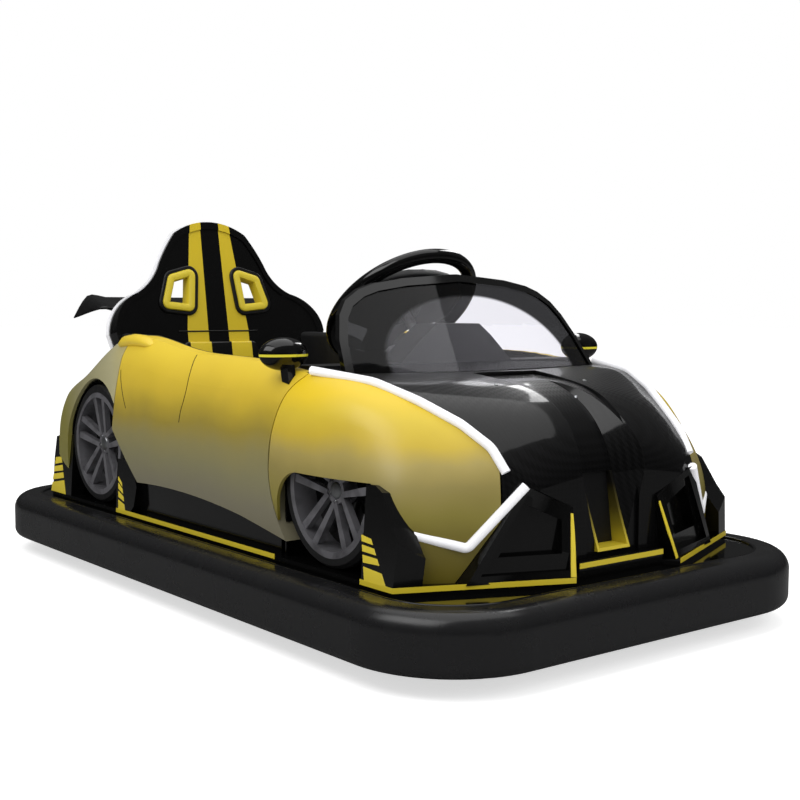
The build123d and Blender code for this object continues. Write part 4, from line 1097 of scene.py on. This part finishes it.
@dataclass
class FinMarks:
    """Four slanted yellow blocks low on the leaning outer face of each fin."""

    foot: Triple = (0.0, -0.475, 0.168)
    lean: float = 6.3
    lift: float = 1.2 * MM
    let_in: float = 1 * MM
    edge: float = 0.3 * MM
    # Each fin in millimetres: x of the rear border at top and foot, x of the front border at
    # top and foot, and rows of heights: rear top, front top, rear foot, front foot
    fins: tuple[tuple[Pair, Pair, tuple[tuple[float, ...], ...]], ...] = (
        (
            (-732, -744),
            (-698, -651),
            ((259, 263, 240, 248), (234, 242, 219, 228), (213, 223, 197, 209), (190, 203, 167, 167)),
        ),
        (
            (-352, -335),
            (-337, -299),
            ((248, 236, 239, 226), (233, 220, 219, 209), (213, 203, 199, 191), (192, 184, 165, 168)),
        ),
        (
            (653, 675),
            (680, 742),
            ((252, 248, 240, 238), (234, 232, 222, 221), (216, 215, 202, 204), (195, 191, 164, 168)),
        ),
    )

    def spot(self, x: float, height: float) -> Vector:
        """Place on the leaning face.

        Args:
            x: along the car, in millimetres.
            height: up the face, in millimetres.

        Returns:
            The place.
        """
        lean = math.radians(self.lean)
        rise = height * MM - self.foot[2]
        return Vector((x * MM, self.foot[1] + rise * math.sin(lean), self.foot[2] + rise * math.cos(lean)))

    def build(self, nodes: Nodes) -> None:
        """Cut the marks of all fins as one piece.

        Args:
            nodes: the frame's nodes by name.
        """
        finish_nodes(nodes, BLACK_GLOSS, "fins_right", "fins_left")
        lean = math.radians(self.lean)
        out = Vector((0, -math.cos(lean), math.sin(lean)))
        marks = bmesh.new()
        for rear, front, rows in self.fins:
            top, low = max(max(row) for row in rows), min(min(row) for row in rows)
            for rear_top, front_top, rear_low, front_low in rows:
                heights = ((rear, rear_top), (front, front_top), (front, front_low), (rear, rear_low))
                corners = []
                for (high_x, low_x), height in heights:
                    share = (top - height) / (top - low)
                    x = high_x + share * (low_x - high_x)
                    corners.append(self.spot(x, height) - out * self.let_in)
                add_block(marks, corners, out * (self.lift + self.let_in), self.edge, segments=1)
        both_sides(marks)
        make_piece("fin_marks", marks, TRIM_YELLOW)


@dataclass
class BodyShell:
    """Panels of the body, the door seams, the studs on the hood and the shoulder pads."""

    # Seams on the right side in millimetres: x and z
    seams: tuple[tuple[Pair, ...], ...] = (
        ((-32, 558), (-14, 535), (-5, 512), (-4, 485), (-8, 459), (-15, 436), (-19, 408)),
        ((-333, 512), (-325, 488), (-313, 464), (-298, 440), (-285, 422)),
    )
    seam_width: float = 2.4 * MM
    seam_rise: float = 0.4 * MM
    seam_sink: float = 1 * MM
    # Studs on the hood in millimetres: x and y
    studs: tuple[Pair, ...] = ((647, -128), (700, 46), (647, 128), (700, -46))
    stud_radius: float = 4.5 * MM
    stud_rise: float = 2.2 * MM
    # Shoulder pad above the side panel's rear end: places and sizes in millimetres
    pad: tuple[Four, ...] = (
        (-392, -431, 566, 0.25),
        (-384, -431, 572, 0.75),
        (-360, -431, 580, 1.0),
        (-320, -431, 584, 1.05),
        (-280, -430, 583, 1.0),
        (-248, -430, 578, 0.8),
        (-230, -430, 573, 0.35),
    )
    pad_half: Pair = (22 * MM, 15 * MM)
    pad_parts: int = 20

    def build(self, nodes: Nodes) -> None:
        """Dress every panel and add what lies on it.

        Args:
            nodes: the frame's nodes by name.
        """
        finish_nodes(nodes, CARBON, "hood")
        finish_nodes(nodes, FENDER_GEL, "front_fender_right", "front_fender_left")
        finish_nodes(nodes, SIDE_GEL, "side_panel_right", "side_panel_left")
        finish_nodes(nodes, QUARTER_GEL, "rear_quarter_right", "rear_quarter_left")
        finish_nodes(nodes, BLACK_GLOSS, "tail_panel", "front_pod_right", "front_pod_left")
        finish_nodes(nodes, LINER_YELLOW, "grille_surround")
        finish_nodes(nodes, BLACK_MATT, "grille")
        self.door_seams(Skin(nodes["side_panel_right"], nodes["rear_quarter_right"]))
        self.hood_studs(Skin(nodes["hood"]))
        self.shoulder_pads()

    def door_seams(self, flank: Skin) -> None:
        """Lay the seams on both flanks.

        Args:
            flank: the right flank.
        """
        seams = bmesh.new()
        section = flat_section(self.seam_width, self.seam_rise, self.seam_sink)
        for points in self.seams:
            starts = [Vector((x * MM, -OUTSIDE, z * MM)) for x, z in smooth_route(points)]
            flank.lay(seams, starts, Vector((0, 1, 0)), section)
        both_sides(seams)
        make_piece("door_seams", seams, SEAL_AND_SHADOW_BLACK)

    def hood_studs(self, hood: Skin) -> None:
        """Set the studs on the hood.

        Args:
            hood: the hood's surface.
        """
        studs = bmesh.new()
        for x, y in self.studs:
            place, normal = hood.find(Vector((x * MM, y * MM, OUTSIDE)), -UP)
            add_dome(studs, place, normal, self.stud_radius, self.stud_rise)
        make_piece("hood_studs", studs, BRIGHT_STEEL)

    def shoulder_pads(self) -> None:
        """Sweep the shoulder pads."""
        pads = bmesh.new()
        path = [Vector((x * MM, y * MM, z * MM)) for x, y, z, _ in self.pad]
        stations = mitred_stations(path, [UP], sizes=[size for *_, size in self.pad])
        circle = round_section(1.0, self.pad_parts)
        add_sweep(pads, [(x * self.pad_half[0], y * self.pad_half[1]) for x, y in circle], stations)
        both_sides(pads)
        make_piece("shoulder_pads", pads, SIDE_GEL_PLAIN, crease=60.0)


@dataclass
class Wheels:
    """Dummy wheels on the body with their caps, and the running wheels below the deck."""

    centres: tuple[Pair, ...] = ((0.540, 0.318), (-0.477, 0.318))
    # The rays to a rim's hub stand this far beside its middle, clear of the hub's own edges
    beside: float = 2 * MM
    cap_radius: float = 17 * MM
    cap_rise: float = 5 * MM
    bolts: int = 5
    first_bolt: float = 54.0
    bolt_circle: float = 21 * MM
    bolt_radius: float = 3.2 * MM
    bolt_rise: float = 3 * MM

    def build(self, nodes: Nodes) -> None:
        """Dress rims, tyres and hubs, and add the caps.

        Args:
            nodes: the frame's nodes by name.
        """
        finish_nodes(nodes, ALLOY, "dummy_rims", "drive_hub", "rear_hub_right", "rear_hub_left")
        finish_nodes(nodes, TYRE, "dummy_tyres", "drive_tyre", "rear_tyre_right", "rear_tyre_left")
        finish_nodes(nodes, FRAME_PAINT, "cross_members", "chassis_rails", "rear_brackets", "drive_bridge")
        finish_nodes(nodes, BRIGHT_STEEL, "drive_fork")
        rims = Skin(nodes["dummy_rims"])
        out = Vector((0, -1, 0))
        caps = bmesh.new()
        for x, z in self.centres:
            place, _ = rims.find(Vector((x + self.beside, -OUTSIDE, z)), -out)
            add_dome(caps, place, out, self.cap_radius, self.cap_rise)
            for bolt in range(self.bolts):
                angle = math.radians(self.first_bolt + 360 / self.bolts * bolt)
                spot = Vector((math.cos(angle), 0, math.sin(angle))) * self.bolt_circle
                add_dome(caps, place + spot, out, self.bolt_radius, self.bolt_rise)
        both_sides(caps)
        make_piece("wheel_caps", caps, BRIGHT_STEEL)


@dataclass
class Cockpit:
    """Screen, dashboard, steering, mirrors and pedal."""

    wheel_centre: Triple = (0.184, 0.0, 0.666)
    lean: float = 47.6
    pad_back: float = -8 * MM
    pad_depth: float = 26 * MM
    pad_edge: float = 8 * MM
    # Right half of the steering pad in the rim's own plane, in millimetres: across, up
    pad_half: tuple[Pair, ...] = (
        (0, 118), (40, 116), (84, 106), (118, 88), (143, 60), (152, 24), (150, -18), (132, -46),
        (96, -58), (60, -72), (42, -98), (34, -150),
    )  # fmt: skip

    def steering_pad(self) -> None:
        """Broad moulded pad that fills the steering wheel below its top arc."""
        lean = math.radians(self.lean)
        across = Vector((0, 1, 0))
        rise = Vector((math.sin(lean), 0, math.cos(lean)))
        out = Vector((-math.cos(lean), 0, math.sin(lean)))
        outline = [*self.pad_half, *[(-u, v) for u, v in reversed(self.pad_half) if u]]
        back = Vector(self.wheel_centre) + out * self.pad_back
        corners = [back + across * u * MM + rise * v * MM for u, v in outline]
        pad = bmesh.new()
        add_block(pad, corners, out * self.pad_depth, self.pad_edge, segments=3)
        make_piece("steering_pad", pad, BLACK_MATT, Body.STEERING, crease=50.0)

    def build(self, nodes: Nodes) -> None:
        """Dress what the rider sees and holds.

        Args:
            nodes: the frame's nodes by name.
        """
        finish_nodes(nodes, SMOKED, "windscreen")
        finish_nodes(nodes, BLACK_GLOSS, "screen_frame", "steering_wheel")
        finish_nodes(nodes, BLACK_MATT, "dashboard", "bulkhead", "seat_box", "battery_pack")
        finish_nodes(nodes, BRIGHT_STEEL, "steering_shaft", "foot_pedal")
        finish_nodes(nodes, MIRROR_SHELL, "mirror_right", "mirror_left")
        finish_nodes(nodes, SILVERED, "mirror_glasses")
        self.steering_pad()


@dataclass
class Seat:
    """Seat back with its bezels, gaskets, lumbar pad and side bolsters, and the light strip."""

    origin: Triple = (-0.645, 0.0, 0.521)
    lean: float = 10.0
    # Opening in the seat's plane, in millimetres: across, up
    opening: tuple[Pair, ...] = ((65, 255), (144, 233), (172, 146), (79, 136))
    opening_round: float = 15.0
    # Section of a bezel in millimetres: outwards from the opening's edge, towards the front
    bezel: tuple[Pair, ...] = (
        (-0.5, -29), (-0.5, -3), (5, -3), (5, 1.5), (3, 4.5), (-1, 6), (-10, 6), (-15, 4.5), (-17.5, 1),
        (-18, -29),
    )  # fmt: skip
    gasket: tuple[Pair, ...] = ((4, -5), (4, 0.8), (6, 2.4), (12.5, 2.4), (15, 0.6), (15, -5))
    light_rise: float = 3 * MM
    lumbar: tuple[Pair, ...] = ((112, 46), (126, 20), (134, -60), (138, -190))
    # Where the pad starts in the seat's plane, in millimetres, its depth and its rounding
    lumbar_foot: float = -6.0
    lumbar_depth: float = 13 * MM
    lumbar_edge: float = 5 * MM
    # Black bar that paints the shadow in the fold across the back, in millimetres: places across, and how
    # far up and out it lies
    fold: tuple[float, ...] = (-128, -60, 60, 128)
    fold_place: Pair = (77, -4)
    fold_radius: float = 2.2 * MM
    # Side view of a bolster in millimetres: x, z
    bolster: tuple[Pair, ...] = (
        (-652, 154), (-668, 592), (-470, 591), (-395, 572), (-352, 522), (-334, 440), (-330, 330),
        (-345, 154),
    )  # fmt: skip
    bolster_y: Pair = (0.272, 0.322)
    bolster_edge: float = 14 * MM

    def spot(self, u: float, v: float, w: float = 0.0) -> Vector:
        """Place on the seat, from measures in its own plane.

        Args:
            u: across, in millimetres.
            v: up the back, in millimetres.
            w: out of its front, in millimetres.

        Returns:
            The place.
        """
        lean = math.radians(self.lean)
        rise = Vector((-math.sin(lean), 0, math.cos(lean)))
        out = Vector((math.cos(lean), 0, math.sin(lean)))
        return Vector(self.origin) + Vector((0, 1, 0)) * u * MM + rise * v * MM + out * w * MM

    def forwards(self) -> Vector:
        """Direction out of the front of the seat's back."""
        return (self.spot(0, 0, 1) - self.spot(0, 0)).normalized()

    def ring(self, shape: bmesh.types.BMesh, side: Side, section: Sequence[Pair]) -> None:
        """Sweep a section round one opening.

        Args:
            shape: the bmesh it goes into.
            side: the side of the opening.
            section: its local X outwards and its local Y forwards, in millimetres.
        """
        outline = rounded_path(self.opening, self.opening_round)
        points = [self.spot(side.value * u, v) for u, v in outline]
        if side is Side.LEFT:
            points.reverse()
        stations = mitred_stations(points, [self.forwards()], closed=True)
        add_sweep(shape, [(x * MM, y * MM) for x, y in section], stations, closed=True)

    def light_strip(self, nodes: Nodes) -> None:
        """Draw the light strip in, so that it hugs the shell's edge as a thin band.

        Args:
            nodes: the frame's nodes by name.
        """
        strip = bmesh.new()
        strip.from_mesh(nodes["seat_light"].data)
        bmesh.ops.remove_doubles(strip, verts=strip.verts, dist=WELD)
        shell = Skin(nodes["seat_back"])
        for vert in strip.verts:
            place, *_ = shell.tree.find_nearest(vert.co)
            gap = vert.co - place
            if gap.length > self.light_rise:
                vert.co = place + gap.normalized() * self.light_rise
        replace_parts(make_piece("seat_light_strip", strip, OPAL_TUBE), "seat_light")

    def build(self, nodes: Nodes) -> None:
        """Dress the shell and add the frames, pad and bolsters.

        Args:
            nodes: the frame's nodes by name.
        """
        finish_nodes(nodes, SEAT_SHELL, "seat_back")
        finish_nodes(nodes, OPAL_TUBE, "seat_light", "light_tubes_right", "light_tubes_left")
        self.light_strip(nodes)
        bezels, gaskets = bmesh.new(), bmesh.new()
        for side in Side:
            self.ring(bezels, side, self.bezel)
            self.ring(gaskets, side, self.gasket)
        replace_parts(make_piece("seat_bezel_frames", bezels, TRIM_YELLOW), "seat_bezels")
        make_piece("bezel_gaskets", gaskets, SEAL_AND_SHADOW_BLACK)
        self.back_pad()
        self.bolsters()

    def back_pad(self) -> None:
        """Add the lumbar pad, and above it a black bar that paints the shadow of the fold."""
        out = self.forwards()
        outline = [*self.lumbar, *[(-u, v) for u, v in reversed(self.lumbar)]]
        corners = [self.spot(u, v, self.lumbar_foot) for u, v in outline]
        pad = bmesh.new()
        add_block(pad, corners, out * self.lumbar_depth, self.lumbar_edge, segments=3)
        make_piece("lumbar_pad", pad, SEAT_SHELL, crease=50.0)
        # Painted shadow: a black bar lies where the fold's groove is in shade
        fold = bmesh.new()
        path = [self.spot(u, *self.fold_place) for u in self.fold]
        add_sweep(fold, round_section(self.fold_radius, steps=10), mitred_stations(path, [out]))
        make_piece("seat_fold_shadow_bar", fold, SEAL_AND_SHADOW_BLACK)

    def bolsters(self) -> None:
        """Add the padded bolsters at both sides of the cushion."""
        bolsters = bmesh.new()
        for side in Side:
            start, end = (side.value * y for y in self.bolster_y)
            corners = [Vector((x * MM, start, z * MM)) for x, z in self.bolster]
            across = Vector((0, end - start, 0))
            add_block(bolsters, corners, across, self.bolster_edge, segments=4)
        make_piece("seat_bolsters", bolsters, SEAT_VINYL, crease=50.0)


@dataclass
class Cushion:
    """Vinyl cushion on the seat box, swelled by cloth pressure and then seamed."""

    low: Triple = (-0.592, -0.194, 0.331)
    high: Triple = (-0.258, 0.194, 0.386)
    corner: float = 24 * MM
    corner_parts: int = 5
    voxel: float = 6 * MM
    # The cloth is held up to this height above the cushion's foot
    held: float = 2 * MM
    pressure: float = 4.0
    frames: int = 20
    cap: float = 14 * MM
    channels: tuple[float, ...] = (-0.075, 0.075)
    channel_depth: float = 6 * MM
    channel_width: float = 7 * MM
    piping: float = 3.5 * MM
    piping_rise: float = 0.75
    piping_steps: int = 96

    def middle(self) -> Vector:
        """Middle of the cushion."""
        return (Vector(self.low) + Vector(self.high)) / 2

    def block(self) -> bpy.types.Mesh:
        """Make a slab with rounded edges and remesh it into even small faces.

        Returns:
            Its mesh.
        """
        shape = bmesh.new()
        bmesh.ops.create_cube(shape, size=1.0)
        bmesh.ops.scale(shape, vec=Vector(self.high) - Vector(self.low), verts=shape.verts)
        bmesh.ops.translate(shape, vec=self.middle(), verts=shape.verts)
        bmesh.ops.bevel(
            shape,
            geom=shape.edges[:],
            offset=self.corner,
            segments=self.corner_parts,
            profile=0.5,
            affect="EDGES",
            material=-1,
        )
        mesh = bpy.data.meshes.new("cushion_slab")
        shape.to_mesh(mesh)
        shape.free()
        slab = bpy.data.objects.new("cushion_slab", mesh)
        bpy.context.scene.collection.objects.link(slab)
        remesh = slab.modifiers.new("even_faces", "REMESH")
        remesh.mode = "VOXEL"
        remesh.voxel_size = self.voxel
        even = bpy.data.meshes.new_from_object(slab.evaluated_get(bpy.context.evaluated_depsgraph_get()))
        bpy.data.objects.remove(slab)
        return even

    def swell(self, mesh: bpy.types.Mesh) -> None:
        """Blow the cushion up by cloth pressure, its foot held on the seat box.

        Args:
            mesh: the slab's mesh, which changes.
        """
        rest = [vert.co.copy() for vert in mesh.vertices]
        body = bpy.data.objects.new("cushion_cloth", mesh)
        bpy.context.scene.collection.objects.link(body)
        held = body.vertex_groups.new(name="foot")
        top = self.low[2] + self.held
        held.add([at for at, place in enumerate(rest) if place.z < top], 1.0, "REPLACE")
        cloth = body.modifiers.new("padding", "CLOTH")
        cloth.settings.vertex_group_mass = "foot"
        cloth.settings.use_pressure = True
        cloth.settings.uniform_pressure_force = self.pressure
        cloth.settings.effector_weights.gravity = 0.0
        cloth.point_cache.frame_end = self.frames
        scene = bpy.context.scene
        for frame in range(1, self.frames + 1):
            scene.frame_set(frame)
        blown = body.evaluated_get(bpy.context.evaluated_depsgraph_get()).data
        moved = [vert.co.copy() for vert in blown.vertices]
        bpy.data.objects.remove(body)
        scene.frame_set(1)
        for vert, start, end in zip(mesh.vertices, rest, moved):
            step = end - start
            if step.length > self.cap:
                step *= self.cap / step.length
            vert.co = start + step
            vert.co.z = max(vert.co.z, self.low[2])

    def sew(self, mesh: bpy.types.Mesh) -> None:
        """Press the sewn channels into the top.

        Args:
            mesh: the cushion's mesh, which changes.
        """
        deep = (self.low[2] + self.high[2]) / 2
        for vert in mesh.vertices:
            rise = min(max((vert.co.z - deep) / (self.high[2] - deep), 0.0), 1.0)
            for channel in self.channels:
                off = (vert.co.y - channel) / self.channel_width
                vert.co.z -= self.channel_depth * rise * math.exp(-off * off)

    def build(self, nodes: Nodes) -> None:
        """Make the cushion, its piping, and let it stand for the plain CAD block.

        Args:
            nodes: the frame's nodes by name.
        """
        finish_nodes(nodes, SEAT_VINYL, "seat_cushion")
        mesh = self.block()
        self.swell(mesh)
        self.sew(mesh)
        mesh.shade_smooth()
        pad = add_piece("cushion_pad", mesh, SEAT_VINYL)
        finer = pad.modifiers.new("fine_surface", "SUBSURF")
        finer.levels = finer.render_levels = 1
        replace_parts(pad, "seat_cushion")
        self.sew_piping(Skin(pad))

    def sew_piping(self, skin: Skin) -> None:
        """Lay the piping round the cushion's side.

        Args:
            skin: the cushion's surface.
        """
        centre = self.middle()
        centre.z = self.low[2] + self.piping_rise * (self.high[2] - self.low[2])
        path, ups = [], []
        for step in range(self.piping_steps):
            turn = 2 * math.pi * step / self.piping_steps
            heading = Vector((math.cos(turn), math.sin(turn), 0))
            place, normal = skin.find(centre + heading, -heading)
            path.append(place)
            ups.append(normal)
        stations = mitred_stations(path, ups, closed=True)
        piping = bmesh.new()
        add_sweep(piping, round_section(self.piping, steps=10), stations, closed=True)
        make_piece("cushion_piping", piping, TRIM_YELLOW)


@dataclass
class Tail:
    """Swept wing with drooping tips on its struts, the lamps and the charging cap."""

    lead_edge: Pair = (-742.0, 654.0)
    # Section of the blade in millimetres behind and above its leading edge
    blade: tuple[Pair, ...] = (
        (3, 0), (-10, 8), (-38, 17), (-72, 28), (-104, 38), (-108, 34), (-74, 19), (-38, 7), (-8, -6),
        (1, -5),
    )  # fmt: skip
    # One half of the blade: y, how far it stands back and up, and its size
    stations: tuple[Four, ...] = (
        (0, 0, 0, 1.0),
        (210, 0, 0, 1.0),
        (262, 0, 0, 1.0),
        (286, -2, 5, 1.0),
        (303, -7, 9, 0.95),
        (318, -16, 8, 0.86),
        (332, -35, 1, 0.66),
        (344, -58, -8, 0.43),
        (354, -82, -17, 0.20),
        (360, -99, -22, 0.04),
    )
    strut: tuple[Pair, ...] = ((-684, 404), (-708, 398), (-806, 672), (-770, 668))
    strut_y: float = 150.0
    strut_half: float = 6.0
    strut_edge: float = 2 * MM
    charge_place: Triple = (-0.7125, 0.0, 0.250)
    charge_radius: float = 19 * MM
    charge_rise: float = 7 * MM

    def build(self, nodes: Nodes) -> None:
        """Build the wing, dress the lamps and close the charging hole.

        Args:
            nodes: the frame's nodes by name.
        """
        finish_nodes(nodes, RED_LENS, "tail_lamps")
        finish_nodes(nodes, CARBON, "rear_wing")
        wing = bmesh.new()
        halves = [*reversed([(-y, *rest) for y, *rest in self.stations if y]), *self.stations]
        frames = []
        for y, back, up, size in halves:
            place = Vector(((self.lead_edge[0] + back) * MM, y * MM, (self.lead_edge[1] + up) * MM))
            frame = Matrix(((size, 0, 0), (0, 0, 1), (0, size, 0))).to_4x4()
            frame.translation = place
            frames.append(frame)
        add_sweep(wing, [(x * MM, z * MM) for x, z in self.blade], frames)
        for side in Side:
            y = (side.value * self.strut_y - self.strut_half) * MM
            corners = [Vector((x * MM, y, z * MM)) for x, z in self.strut]
            add_block(wing, corners, Vector((0, 2 * self.strut_half * MM, 0)), self.strut_edge)
        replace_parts(make_piece("swept_wing", wing, CARBON, crease=50.0), "rear_wing")
        cap = bmesh.new()
        behind = Vector((-1, 0, 0))
        add_dome(cap, Vector(self.charge_place), behind, self.charge_radius, self.charge_rise)
        make_piece("charge_cap", cap, BLACK_MATT)


@dataclass(frozen=True)
class Lamp:
    """One softbox: where it hangs, what it faces, its size, its watts and its turn in degrees."""

    name: str
    place: Triple
    aim: Triple
    width: float
    height: float
    watts: float
    turn: float = 0.0
    mirrored: bool = True


@dataclass
class Studio:
    """Pale floor, white surround, soft lamps and the photograph's camera."""

    camera_place: Triple = (2.48228, -1.82859, 0.67463)
    yaw: float = 51.568
    pitch: float = 4.369
    roll: float = 0.268
    lens: float = 56.28
    sensor: float = 36.0
    floor_size: float = 60.0
    floor_color: str = "#E6E6E6"
    # The camera sees the floor this much brighter, so that only the car's shadow shows on it
    floor_glow: float = 0.62
    floor_mirrored: str = "#6A6A6A"
    daylight: float = 0.58
    # Gloss sees a dim room: its light at the foot and the top of this part of the sky
    sky: Pair = (0.05, 0.8)
    gloss: Pair = (0.02, 0.14)
    lamps: tuple[Lamp, ...] = (
        Lamp("key_softbox", (0.6, -2.4, 3.2), (0.2, -0.2, 0.4), 3.2, 2.0, 64.0),
        Lamp("top_softbox", (0.0, 0.3, 3.4), (0.0, 0.0, 0.3), 4.0, 3.0, 46.0),
        Lamp("front_softbox", (3.6, 0.6, 2.2), (0.5, 0.0, 0.4), 3.0, 2.4, 36.0, mirrored=False),
        # Placed where the ridge of the hood mirrors it into the camera as a long streak
        Lamp("ridge_strip", (-0.35, 1.46, 1.95), (0.7, -0.1, 0.5), 1.4, 0.22, 8.0, turn=123.0),
    )

    def camera(self) -> None:
        """Stand the camera where the photograph was taken from."""
        data = bpy.data.cameras.new("photo_camera")
        data.lens = self.lens
        data.sensor_width = self.sensor
        camera = bpy.data.objects.new("photo_camera", data)
        yaw, pitch, roll = (math.radians(angle) for angle in (self.yaw, self.pitch, self.roll))
        back = Vector((math.sin(yaw) * math.cos(pitch), -math.cos(yaw) * math.cos(pitch), math.sin(pitch)))
        right = (-back).cross(UP).normalized()
        up = right.cross(-back)
        turned_right = math.cos(roll) * right + math.sin(roll) * up
        turned_up = math.cos(roll) * up - math.sin(roll) * right
        frame = Matrix((turned_right, turned_up, back)).transposed().to_4x4()
        frame.translation = self.camera_place
        camera.matrix_world = frame
        bpy.context.scene.collection.objects.link(camera)
        bpy.context.scene.camera = camera

    def surround(self) -> None:
        """White world for the camera and the glass, a dim one for gloss, and a plain light."""
        world = bpy.data.worlds.new("studio_world")
        bpy.context.scene.world = world
        world.use_nodes = True
        tree = world.node_tree
        tree.nodes.clear()
        place = add_node(tree, "ShaderNodeTexCoord").outputs["Generated"]
        height = add_node(tree, "ShaderNodeSeparateXYZ", {"Vector": place}).outputs["Z"]
        room = add_node(tree, "ShaderNodeMapRange", (height, *self.sky, *self.gloss))
        seen, mirrored = self.rays(tree)
        plain = (seen, 1 - self.daylight, self.daylight)
        bright = add_node(tree, "ShaderNodeMath", plain, operation="MULTIPLY_ADD")
        step = add_node(tree, "ShaderNodeMath", (room, bright), operation="SUBTRACT")
        strength = add_node(tree, "ShaderNodeMath", (step, mirrored, bright), operation="MULTIPLY_ADD")
        sky = add_node(tree, "ShaderNodeBackground", {"Color": "#FFFFFF", "Strength": strength})
        add_node(tree, "ShaderNodeOutputWorld", {"Surface": sky})

    def rays(self, tree: Tree) -> tuple[bpy.types.Node, bpy.types.Node]:
        """Tell the rays apart.

        Args:
            tree: the node tree of the world or of the floor.

        Returns:
            1 for the camera's rays and those through glass, and 1 for those off gloss.
        """
        path = add_node(tree, "ShaderNodeLightPath").outputs
        direct = (path["Is Camera Ray"], path["Is Transmission Ray"])
        seen = add_node(tree, "ShaderNodeMath", direct, operation="MAXIMUM")
        # A ray through rough glass counts as glossy too, so it is left out here
        off_gloss = (path["Is Glossy Ray"], seen)
        return seen, add_node(tree, "ShaderNodeMath", off_gloss, operation="GREATER_THAN")

    def floor(self) -> None:
        """Lay the floor, which is white but for the car's shadow."""
        shape = bmesh.new()
        bmesh.ops.create_grid(shape, x_segments=1, y_segments=1, size=self.floor_size / 2)
        mesh = bpy.data.meshes.new("studio_floor")
        shape.to_mesh(mesh)
        shape.free()
        material = bpy.data.materials.new("pale_studio_floor")
        material.use_nodes = True
        tree = material.node_tree
        tree.nodes.clear()
        matt = add_node(tree, "ShaderNodeBsdfDiffuse", {"Color": self.floor_color})
        dull = add_node(tree, "ShaderNodeBsdfDiffuse", {"Color": self.floor_mirrored})
        glow = add_node(tree, "ShaderNodeEmission", {"Color": "#FFFFFF", "Strength": self.floor_glow})
        white = add_node(tree, "ShaderNodeAddShader", (matt, glow))
        seen, mirrored = self.rays(tree)
        shown = add_node(tree, "ShaderNodeMixShader", (seen, matt, white))
        chosen = add_node(tree, "ShaderNodeMixShader", (mirrored, shown, dull))
        add_node(tree, "ShaderNodeOutputMaterial", {"Surface": chosen})
        mesh.materials.append(material)
        floor = bpy.data.objects.new("studio_floor", mesh)
        bpy.context.scene.collection.objects.link(floor)

    def light(self) -> None:
        """Hang the softboxes."""
        for lamp in self.lamps:
            data = bpy.data.lights.new(lamp.name, "AREA")
            data.shape = "RECTANGLE"
            data.size = lamp.width
            data.size_y = lamp.height
            data.energy = lamp.watts
            thing = bpy.data.objects.new(lamp.name, data)
            facing = (Vector(lamp.aim) - Vector(lamp.place)).to_track_quat("-Z", "Y").to_matrix()
            turn = Matrix.Rotation(math.radians(lamp.turn), 4, "Z")
            thing.matrix_world = Matrix.Translation(lamp.place) @ facing.to_4x4() @ turn
            thing.visible_glossy = lamp.mirrored
            bpy.context.scene.collection.objects.link(thing)

    def build(self) -> None:
        """Set up the whole studio."""
        self.camera()
        self.surround()
        self.floor()
        self.light()
        bpy.context.scene.view_settings.view_transform = "Standard"


def main() -> None:
    """Load the frame, dress the car piece by piece and set up the studio."""
    logging.basicConfig(level=logging.INFO, format="%(name)s: %(message)s")
    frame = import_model()
    nodes = frame["nodes"]
    parts = (
        BumperAndDeck(),
        Pinstripes(),
        FinMarks(),
        BodyShell(),
        Wheels(),
        Cockpit(),
        Seat(),
        Cushion(),
        Tail(),
    )
    for part in parts:
        LOG.info("building %s", type(part).__name__)
        part.build(nodes)
    Studio().build()


if __name__ == "__main__":
    main()
